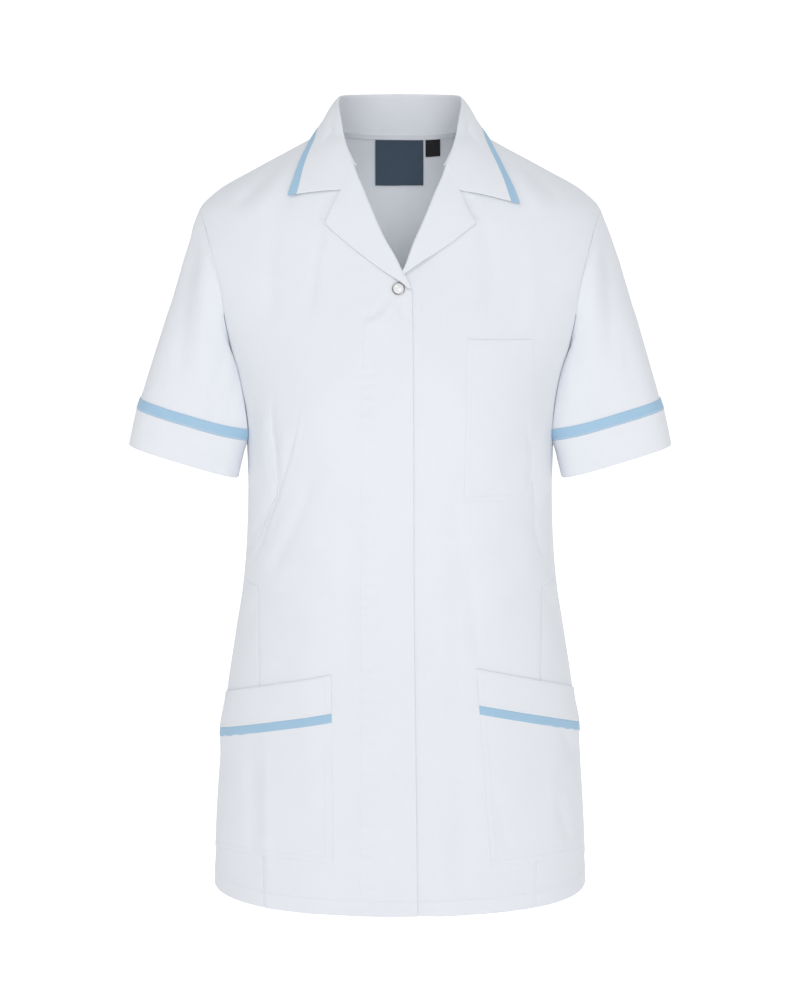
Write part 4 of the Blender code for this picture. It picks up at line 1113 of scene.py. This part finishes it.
def collar_sharp(s, path, side):
    """Points of the collar's middle face. path: 0 neck seam, 1 fold, 3 free edge."""
    fold, free = collar_station(s, side)
    seam = neck_seam(s)
    seam = seam + unit(fold - seam) * SEAM_LIFT
    inward = unit(fold * np.array((-1, -1, 0)))
    stand_at = np.clip(path, 0, 1)
    stand = mix(seam, fold, stand_at) + inward * (STAND_BOW * np.sin(math.pi * stand_at))[..., None]
    t = np.clip((path - 1) / 2, 0, 1)
    notch = form(turn_at_x(NOTCH[1], NOTCH[0]), NOTCH[1])
    bent = np.where((t < NOTCH_AT)[..., None], mix(fold, notch, t / NOTCH_AT),
                    mix(notch, free, (t - NOTCH_AT) / (1 - NOTCH_AT)))
    fall = mix(mix(fold, free, t), bent, onward(s, NOTCH_FROM))
    arch = FALL_ARCH * np.sin(math.pi * np.minimum(t * FALL_ARCH_PART, 1.0)) * (1 - ease(s))
    dip = FALL_DIP * bump(t - FALL_DIP_AT, FALL_DIP_SPREAD)
    dip = dip * ease((s - FALL_DIP_FROM) / FALL_DIP_FADE)
    fall = fall + stack(0, 0, arch) + dip[..., None] * FALL_DIP_WAY
    sewn = onward(s, GORGE_FROM) * (1 - ease((t - NOTCH_AT) / GORGE_FADE))
    fall = pushed_out(fall, COLLAR_REST + (GORGE_REST - COLLAR_REST) * sewn)
    return np.where((path <= 1)[..., None], stand, fall)


def collar_mid(s, path, side):
    """The collar's middle face with its fold rounded."""
    t = np.clip((path - 1 + FOLD_ROUND) / (2 * FOLD_ROUND), 0, 1)
    one = np.ones(np.shape(path))
    start = collar_sharp(s, one - FOLD_ROUND, side)
    fold = collar_sharp(s, one, side)
    end = collar_sharp(s, one + FOLD_ROUND, side)
    round_part = mix(mix(start, fold, t), mix(fold, end, t), t)
    near = (np.abs(path - 1) < FOLD_ROUND)[..., None]
    return np.where(near, round_part, collar_sharp(s, path, side))


def collar_grid(places):
    """Grid round the whole collar. places gives the path's places at each station."""
    halves = []
    for side in (-1, 1):
        s = ticks(COLLAR_HALF, low=False)[::side]
        paths = places(s, side)
        grid = collar_mid(np.broadcast_to(s[:, None], paths.shape), paths, side)
        halves.append(mirrored(grid, side))
    return np.concatenate((halves[0][:-1], halves[1]))


def trim_path(s, side):
    """Place on the collar's path where the blue trim starts."""
    fold, free = collar_station(s, side)
    return 3 - 2 * COLLAR_TRIM_WIDTH / np.linalg.norm(free - fold, axis=-1)


def collar():
    """The collar with its stand, the trim along its outer edge, and the stand's stitch rows."""
    def white_places(s, side):
        stand = ticks(STAND_HEIGHT, high=False, step=COLLAR_STEP)
        fall = ticks(FALL_WIDTH, low=False, step=COLLAR_STEP)[1:]
        last = trim_path(s, side)[:, None]
        return np.concatenate((np.ones((len(s), 1)) * stand, 1 + (last - 1) * fall), axis=1)

    def trim_places(s, side):
        first = trim_path(s, side)[:, None]
        return first + (3 - first) * ticks(COLLAR_TRIM_WIDTH, step=COLLAR_TRIM_STEP)

    half = COLLAR_THICK / 2
    rows = []
    s = np.linspace(0, STAND_ROW_END, STAND_ROW_POINTS)
    for path in STAND_ROWS:
        for side in (-1, 1):
            line = mirrored(collar_mid(s, np.full(s.shape, path), side), side)
            inward = unit(line * np.array((-1, -1, 0)))
            rows.append((line + inward * half, inward))
    pieces = []
    for name, places, made_of in (("collar_cloth", white_places, WHITE),
                                  ("collar_trim_cloth", trim_places, BLUE)):
        points = collar_grid(places)
        normals = grid_normals(points)
        if np.sum(normals[:, -3] * (points[:, -1] - COLLAR_CENTRE)) < 0:
            normals = -normals
        pieces.append(simple_shell(name, points, normals, -half, half, made_of))
    return pieces, rows


def laid(name, turn, z, side, low, high, material, rise=0.0):
    """A piece that lies on the body's folded cloth."""
    points, normals = cloth(turn * side, z, rise)
    return simple_shell(name, points, normals, low, high, material)


def chest_place(u, v):
    """Turn and height at shares across and down the chest pocket."""
    corners = {key: np.array(value, dtype=float) for key, value in CHEST_POCKET.items()}
    start = mix(corners["top_in"], corners["low_in"], v)
    end = mix(corners["top_out"], corners["low_out"], v)
    place = mix(start, end, u)
    return turn_at_x(place[..., 1], place[..., 0]), place[..., 1]


def chest_pocket():
    """The plain patch on the left front, with its top hem and edge stitching."""
    u, v = np.meshgrid(ticks(CHEST_WIDTH, step=2.2), ticks(CHEST_HEIGHT, step=2.4))
    turn, z = chest_place(u, v)
    thick = PATCH + CHEST_HEM_RISE * (1 - ease((v * CHEST_HEIGHT - CHEST_HEM) / 2))
    piece = laid("chest_pocket_cloth", turn, z, 1, PATCH_LOW, PATCH_LOW + thick, WHITE)
    left, foot = EDGE_STITCH / CHEST_WIDTH, 1 - EDGE_STITCH / CHEST_HEIGHT
    hem = CHEST_HEM / CHEST_HEIGHT
    rows = []
    for line in (((left, 0.01), (left, foot), (1 - left, foot), (1 - left, 0.01)),
                 ((0.02, hem), (0.98, hem))):
        u, v = resample(line, 80)
        turn, z = chest_place(u, v)
        rows.append(cloth(turn, z, PATCH_TOP))
    return [piece], rows


def resample(line, count):
    """Places at equal steps along straight runs."""
    line = np.array(line, dtype=float)
    lengths = np.concatenate(((0,), np.cumsum(np.linalg.norm(np.diff(line, axis=0), axis=1))))
    at = np.linspace(0, lengths[-1], count)
    return np.interp(at, lengths, line[:, 0]), np.interp(at, lengths, line[:, 1])


def hip_edges(sizes, u):
    """Heights of a hip pocket's top edge and foot at a share across it."""
    top = sizes["top_in"][1] + (sizes["top_out"] - sizes["top_in"][1]) * u
    foot = sizes["low_in"][1] + (sizes["low_out"] - sizes["low_in"][1]) * u ** 3
    return top, foot


def hip_place(sizes, u, below):
    """Turn, height and rise at a share across a hip pocket and a distance below its top edge."""
    top, foot = hip_edges(sizes, u)
    z = top - below
    down = (top - z) / (top - foot)
    inner = sizes["top_in"][0] + (sizes["low_in"][0] - sizes["top_in"][0]) * down
    start = turn_at_x(z, inner)
    turn = start + (turn_at_y(z, -HIP_SIDE_Y) - start) * u
    near_mouth = bump(top - z - sizes["band"], MOUTH_SPREAD)
    across = ease((u - 0.5) * 2) * ease((1 - u) / MOUTH_CLOSE)
    return turn, z, MOUTH_RISE * near_mouth * across


def hip_pocket(side, word):
    """A hip pocket, its folded top band, the trim strip under the band, and their stitch rows."""
    sizes = HIP_POCKETS[word]
    band = sizes["band"]
    band_top = PATCH_TOP + BAND_THICK
    pieces, rows = [], []

    def lay(name, height, step, start, end, low, high, made_of, ruffle=0.0):
        u, v = np.meshgrid(ticks(HIP_WIDTH, step=2.5), ticks(height, step=step))
        wavy = ruffle * np.sin(u * RUFFLE_WAVES + side) * v
        wavy = wavy * ease((u - RUFFLE_FROM) / RUFFLE_FADE)
        first, last = (start, end) if end else (0, np.subtract(*hip_edges(sizes, u)))
        turn, z, rise = hip_place(sizes, u, first + (last - first) * v + wavy)
        pieces.append(laid(f"{name}_{word}_cloth", turn, z, side, low, high, made_of, rise))

    def sew(u, below, lift, start=0.0):
        """A stitch row at distances below the top edge, where they are past a start."""
        turn, z, rise = hip_place(sizes, u, below)
        line = cloth(turn * side, z, rise + lift)
        rows.append([part[below > start] for part in line])

    lay("hip_pocket", HIP_HEIGHT, STEP, 0, None, PATCH_LOW, PATCH_TOP, WHITE)
    sunk = PATCH_TOP - BAND_SUNK
    lay("hip_pocket_band", HIP_BAND, 2.4, -BAND_OVER, band, sunk, band_top, WHITE)
    lay("hip_pocket_trim", HIP_TRIM, 1.2, band, band + HIP_TRIM, sunk,
        PATCH_TOP + HIP_TRIM_THICK, BLUE, RUFFLE)

    inset = EDGE_STITCH / HIP_WIDTH
    for line in (((inset, 0.02), (inset, 0.97)), ((0.01, 0.97), (0.99, 0.97))):
        u, v = resample(line, 120)
        sew(u, v * np.subtract(*hip_edges(sizes, u)), PATCH_TOP, band + HIP_TRIM)
    u = np.linspace(0.01, 0.99, 120)
    for below in (band - BAND_SEWN_LOW, BAND_SEWN_HIGH):
        sew(u, np.full(u.shape, below), band_top)
    sew(np.full(30, inset), np.linspace(2, band - 2, 30), band_top)
    return pieces, rows


def sampled(line, run, at):
    """Points of a line at distances along it."""
    return np.stack([np.interp(at, run, line[:, k]) for k in range(3)], axis=-1)


def ring_faces(first, rings, sides):
    """Faces between rings of points that follow one another from a first number."""
    faces = []
    for start in range(first, first + (rings - 1) * sides, sides):
        for k in range(sides):
            a, b = start + k, start + (k + 1) % sides
            faces.append((a, b, b + sides, a + sides))
    return faces


def stitches(name, rows):
    """Rows of small rounded stitches. A row is points along a line and their normals."""
    around = np.linspace(0, 2 * math.pi, STITCH_SIDES, endpoint=False)
    points, faces = [], []
    for line, normals in rows:
        run = measure(line[None], 1)[0]
        places = np.arange(STITCH_PITCH / 2, run[-1], STITCH_PITCH)
        centres = sampled(line, run, places)
        ups = unit(sampled(normals, run, places))
        ways = unit(sampled(line, run, places + 0.5) - sampled(line, run, places - 0.5))
        for centre, up, way, beside in zip(centres, ups, ways, np.cross(ups, ways)):
            faces += ring_faces(len(points), len(STITCH_RINGS), STITCH_SIDES)
            for at, size in STITCH_RINGS:
                ring = centre + way * at * STITCH_LENGTH
                for angle in around:
                    out = math.cos(angle) * beside * STITCH_RADIUS * STITCH_FLAT
                    raised = (math.sin(angle) + STITCH_UP) * up * STITCH_RADIUS
                    points.append(ring + (out + raised) * size)
    return add_mesh(name, np.array(points), faces, THREAD)


def hem_rows():
    """Stitching round the hem, above its fold."""
    z = HEM_Z + HEM_SEWN
    lap = straight(LAP_EDGE, z)
    rows = []
    for side, inner in ((-1, lap), (1, 2 - lap)):
        turn = np.linspace(turn_at_x(z, inner), side_turn(z, "front"), 130)
        rows.append(cloth(turn * side, z))
    turn = math.pi - np.linspace(-math.pi / 2, math.pi / 2, 300)
    rows.append(cloth(turn, z))
    return rows


def lathe(name, profile, centre, axis, material, sides=48):
    """A turned piece from (radius, height) pairs about an axis."""
    across = unit(np.cross(axis, np.array((0, 0, 1.0))))
    up = np.cross(across, axis)
    angle = np.linspace(0, 2 * math.pi, sides, endpoint=False)
    around = np.cos(angle)[:, None] * across + np.sin(angle)[:, None] * up
    points = np.concatenate([centre + axis * height + around * radius
                             for radius, height in profile])
    last = (len(profile) - 1) * sides
    ends = [tuple(range(sides))[::-1], tuple(range(last, last + sides))]
    return add_mesh(name, points, ring_faces(0, len(profile), sides) + ends, material)


def stud():
    """The metal ring and the domed cap in it."""
    seat, axis = cloth(turn_at_x(STUD_Z, STUD_X), STUD_Z, STUD_SEAT)
    rim = [(STUD_RADIUS - STUD_RIM + STUD_RIM * math.cos(a), STUD_RIM_Z + STUD_RIM * math.sin(a))
           for a in np.linspace(-0.5, 1.0, 12) * math.pi]
    profile = [(STUD_RADIUS - STUD_FOOT_IN, 0.0), *rim,
               (STUD_RADIUS - STUD_WALL_IN, STUD_WALL_Z)]
    ring = lathe("stud_ring_metal", profile, seat, axis, METAL)
    dome = [(STUD_CAP_RADIUS * math.cos(a), STUD_CAP_Z + STUD_CAP_RISE * math.sin(a))
            for a in np.linspace(0, 0.47 * math.pi, 12)]
    return ring, lathe("stud_cap_pearl", dome, seat, axis, PEARL)


def neck_labels():
    """Tape along the back neck seam, the plain labels that hang from it, and their stitching."""
    def inside(x, below):
        """Turn and height inside the back neck, at a distance below its edge."""
        z = back_neck_z(x) + TOP_Z - below
        return math.pi - turn_at_x(z, x), z

    def strip(name, x, half_width, start, height, low, made_of):
        u, v = np.meshgrid(ticks(2 * half_width, step=1.6) * 2 - 1, ticks(height, step=1.6))
        turn, z = inside(x + half_width * u, start + height * v)
        return laid(name, turn, z, 1, low, low + LABEL_THICK, made_of)

    def sew(x, below):
        turn, z = inside(x, below)
        points, normals = cloth(turn, z, TAPE_LOW)
        return points, -normals

    start = TAPE_HEIGHT - LABEL_TUCK
    pieces = [
        strip("neck_tape_cloth", 0, TAPE_HALF, 0, TAPE_HEIGHT, TAPE_LOW, WHITE),
        strip("label_main_cloth", *LABEL[:2], start, LABEL[2], LABEL_LOW, SLATE),
        strip("label_size_cloth", *SIZE_TAB[:2], start, SIZE_TAB[2], LABEL_LOW, BLACK),
    ]
    x, half_width, height = LABEL
    left, right, foot = x - half_width, x + half_width, start + height
    edge = resample(((left, start), (left, foot), (right, foot)), 90)
    row = np.linspace(-TAPE_HALF + 1, TAPE_HALF - 1, 160)
    return pieces, [sew(row, TAPE_HEIGHT - 1.0), sew(*edge)]


def put(tree, made, sockets):
    """Set a node's sockets, by name, to values or to the outputs of other nodes."""
    for name, value in sockets.items():
        socket = made.inputs[name.replace("_", " ")]
        if isinstance(value, bpy.types.NodeSocket):
            tree.links.new(value, socket)
        else:
            socket.default_value = value


def node(tree, kind, **sockets):
    """A shader node with its sockets set."""
    made = tree.nodes.new(kind)
    put(tree, made, sockets)
    return made


def fresh(name, **sockets):
    """A new material, its node tree, and its shader with the sockets set."""
    made = bpy.data.materials.new(name)
    made.use_nodes = True
    shader = made.node_tree.nodes["Principled BSDF"]
    put(made.node_tree, shader, sockets)
    return made, made.node_tree, shader


def wave(tree, value, per_metre):
    """Sine of a coordinate with a number of waves to the metre."""
    return join(tree, "SINE", join(tree, "MULTIPLY", value, per_metre * 2 * math.pi))


def join(tree, operation, *values):
    """Output of a maths node on numbers and the outputs of other nodes."""
    made = tree.nodes.new("ShaderNodeMath")
    made.operation = operation
    for socket, value in zip(made.inputs, values):
        if isinstance(value, float):
            socket.default_value = value
        else:
            tree.links.new(value, socket)
    return made.outputs[0]


def tint(tree, shader, factor, shade, colour):
    """Colour the shader from a shade to a colour by a factor."""
    made = tree.nodes.new("ShaderNodeMix")
    made.data_type = "RGBA"
    put(tree, made, {"A": (*shade, 1.0), "B": (*colour, 1.0), "Factor": factor})
    tree.links.new(made.outputs["Result"], shader.inputs["Base Color"])


def woven(name, colour, shade, roughness, sheen, thread=0.42, strength=0.35):
    """Woven cloth: threads both ways, a faint twill line, and slight unevenness."""
    made, tree, shader = fresh(name, Roughness=roughness, Sheen_Weight=sheen,
                               Sheen_Roughness=0.45, Specular_IOR_Level=0.25)
    place = tree.nodes.new("ShaderNodeUVMap")
    place.uv_map = "weave"
    place = place.outputs["UV"]
    parts = node(tree, "ShaderNodeSeparateXYZ", Vector=place).outputs
    per_metre = 1 / (2 * thread * MM)
    across = wave(tree, parts["X"], per_metre)
    along = wave(tree, parts["Y"], per_metre)
    slant = wave(tree, join(tree, "ADD", parts["X"], parts["Y"]), per_metre / 2)
    threads = join(tree, "ADD", join(tree, "MULTIPLY", across, along),
                   join(tree, "MULTIPLY", slant, TWILL))
    stretch = node(tree, "ShaderNodeMapping", Vector=place, Scale=(1.0, 0.18, 1.0))
    slub = node(tree, "ShaderNodeTexNoise", Vector=stretch.outputs[0], Scale=900.0, Detail=2.0)
    height = join(tree, "ADD", threads, join(tree, "MULTIPLY", slub.outputs[0], SLUB))
    bumped = node(tree, "ShaderNodeBump", Height=height, Strength=strength, Distance=0.00006)
    tree.links.new(bumped.outputs[0], shader.inputs["Normal"])
    cloud = node(tree, "ShaderNodeTexNoise", Vector=place, Scale=16.0, Detail=3.0)
    blend = join(tree, "ADD", join(tree, "MULTIPLY", threads, 0.10), cloud.outputs[0])
    ramp = node(tree, "ShaderNodeMapRange", Value=blend, From_Min=0.2, From_Max=0.8)
    tint(tree, shader, ramp.outputs[0], shade, colour)
    return made


def hard(name, colour, roughness, metallic, coat=0.0):
    """Metal or pearl with faint variation in its gloss."""
    made, tree, shader = fresh(name, Metallic=metallic, Coat_Weight=coat)
    place = tree.nodes.new("ShaderNodeTexCoord").outputs["Object"]
    cloud = node(tree, "ShaderNodeTexNoise", Vector=place, Scale=700.0, Detail=2.0).outputs[0]
    gloss = node(tree, "ShaderNodeMapRange", Value=cloud, To_Min=roughness - GRAIN,
                 To_Max=roughness + GRAIN)
    tree.links.new(gloss.outputs[0], shader.inputs["Roughness"])
    tint(tree, shader, cloud, [0.94 * part for part in colour], colour)
    return made


WHITE = woven("white_cloth_weave", (0.83, 0.855, 0.90), (0.81, 0.837, 0.886), 0.82, 0.15)
BLUE = woven("blue_trim_weave", (0.40, 0.60, 0.78), (0.36, 0.56, 0.74), 0.75, 0.2,
             strength=0.45)
SLATE = woven("slate_label_weave", (0.063, 0.093, 0.135), (0.052, 0.078, 0.115), 0.6, 0.1,
              thread=0.3, strength=0.5)
BLACK = woven("black_tab_weave", (0.016, 0.016, 0.02), (0.01, 0.01, 0.012), 0.6, 0.1,
              thread=0.3, strength=0.5)
THREAD = woven("white_thread", (0.86, 0.88, 0.92), (0.8, 0.82, 0.87), 0.6, 0.1, thread=0.2)
METAL = hard("polished_ring", (0.34, 0.35, 0.37), 0.2, 1.0)
PEARL = hard("pearl_cap", (0.86, 0.86, 0.88), 0.22, 0.0, coat=0.6)


def declare(*pieces):
    """Attach each piece to the root and hide the CAD node that it stands for."""
    for piece in pieces:
        name = piece.name.rsplit("_", 1)[0]
        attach(piece, "root")
        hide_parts(name)


def add_light(name, place, aim, size, power, spread=math.pi):
    """A soft rectangular light, with places in metres."""
    light = bpy.data.lights.new(name, "AREA")
    light.shape = "RECTANGLE"
    light.size, light.size_y = size
    light.energy = power
    light.spread = spread
    holder = bpy.data.objects.new(name, light)
    holder.location = place
    holder.rotation_euler = (Vector(aim) - Vector(place)).to_track_quat("-Z", "Y").to_euler()
    bpy.context.scene.collection.objects.link(holder)


def studio():
    """A plain pale floor, soft lights, and the camera at the photograph's angle."""
    scene = bpy.context.scene
    scene.view_settings.view_transform = "Standard"
    world = bpy.data.worlds.new("studio_air")
    scene.world = world
    world.use_nodes = True
    put(world.node_tree, world.node_tree.nodes["Background"],
        {"Color": (1.0, 1.0, 1.0, 1.0), "Strength": WORLD_STRENGTH})

    pale, tree, shader = fresh("pale_floor", Base_Color=(0.93, 0.93, 0.93, 1.0), Roughness=0.9,
                               Emission_Color=(1.0, 1.0, 1.0, 1.0))
    place = tree.nodes.new("ShaderNodeTexCoord").outputs["Object"]
    depth = node(tree, "ShaderNodeSeparateXYZ", Vector=place).outputs["Y"]
    glow = node(tree, "ShaderNodeMapRange", Value=depth, From_Min=GLOW_FROM_Y,
                From_Max=GLOW_TO_Y, To_Min=FRONT_GLOW, To_Max=FLOOR_GLOW)
    tree.links.new(glow.outputs[0], shader.inputs["Emission Strength"])
    angle = np.linspace(0, 2 * math.pi, FLOOR_SIDES, endpoint=False)
    ring = stack(FLOOR_RADIUS * np.cos(angle), FLOOR_RADIUS * np.sin(angle), FLOOR_Z)
    add_mesh("floor", ring / MM, [tuple(range(FLOOR_SIDES))], pale)

    for light in LIGHTS:
        add_light(**light)

    camera = bpy.data.cameras.new("photo_camera")
    camera.sensor_width = 36.0
    camera.lens = CAMERA_LENS
    holder = bpy.data.objects.new("photo_camera", camera)
    holder.location = CAMERA_PLACE
    holder.rotation_euler = (math.radians(90 - CAMERA_DOWN), 0.0, 0.0)
    scene.collection.objects.link(holder)
    scene.camera = holder


def main():
    """Make every piece and its sewing, then the studio."""
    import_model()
    rows = []
    declare(back())
    for side, word in SIDES:
        declare(front(side, word), side_panel(side, word))
        tubes, cuff_rows = sleeve(side, word)
        declare(*tubes, lapel(side, word))
        pockets, pocket_rows = hip_pocket(side, word)
        declare(*pockets)
        rows += cuff_rows + pocket_rows
    for pieces, sewn in (collar(), chest_pocket(), (stud(), []), neck_labels()):
        declare(*pieces)
        rows += sewn
    x, z = resample(FLY_LINE, 200)
    rows += [*hem_rows(), on_front(-x, z)]
    sewing = stitches("sewing", rows)
    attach(sewing, "root")
    studio()
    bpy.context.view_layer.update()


main()
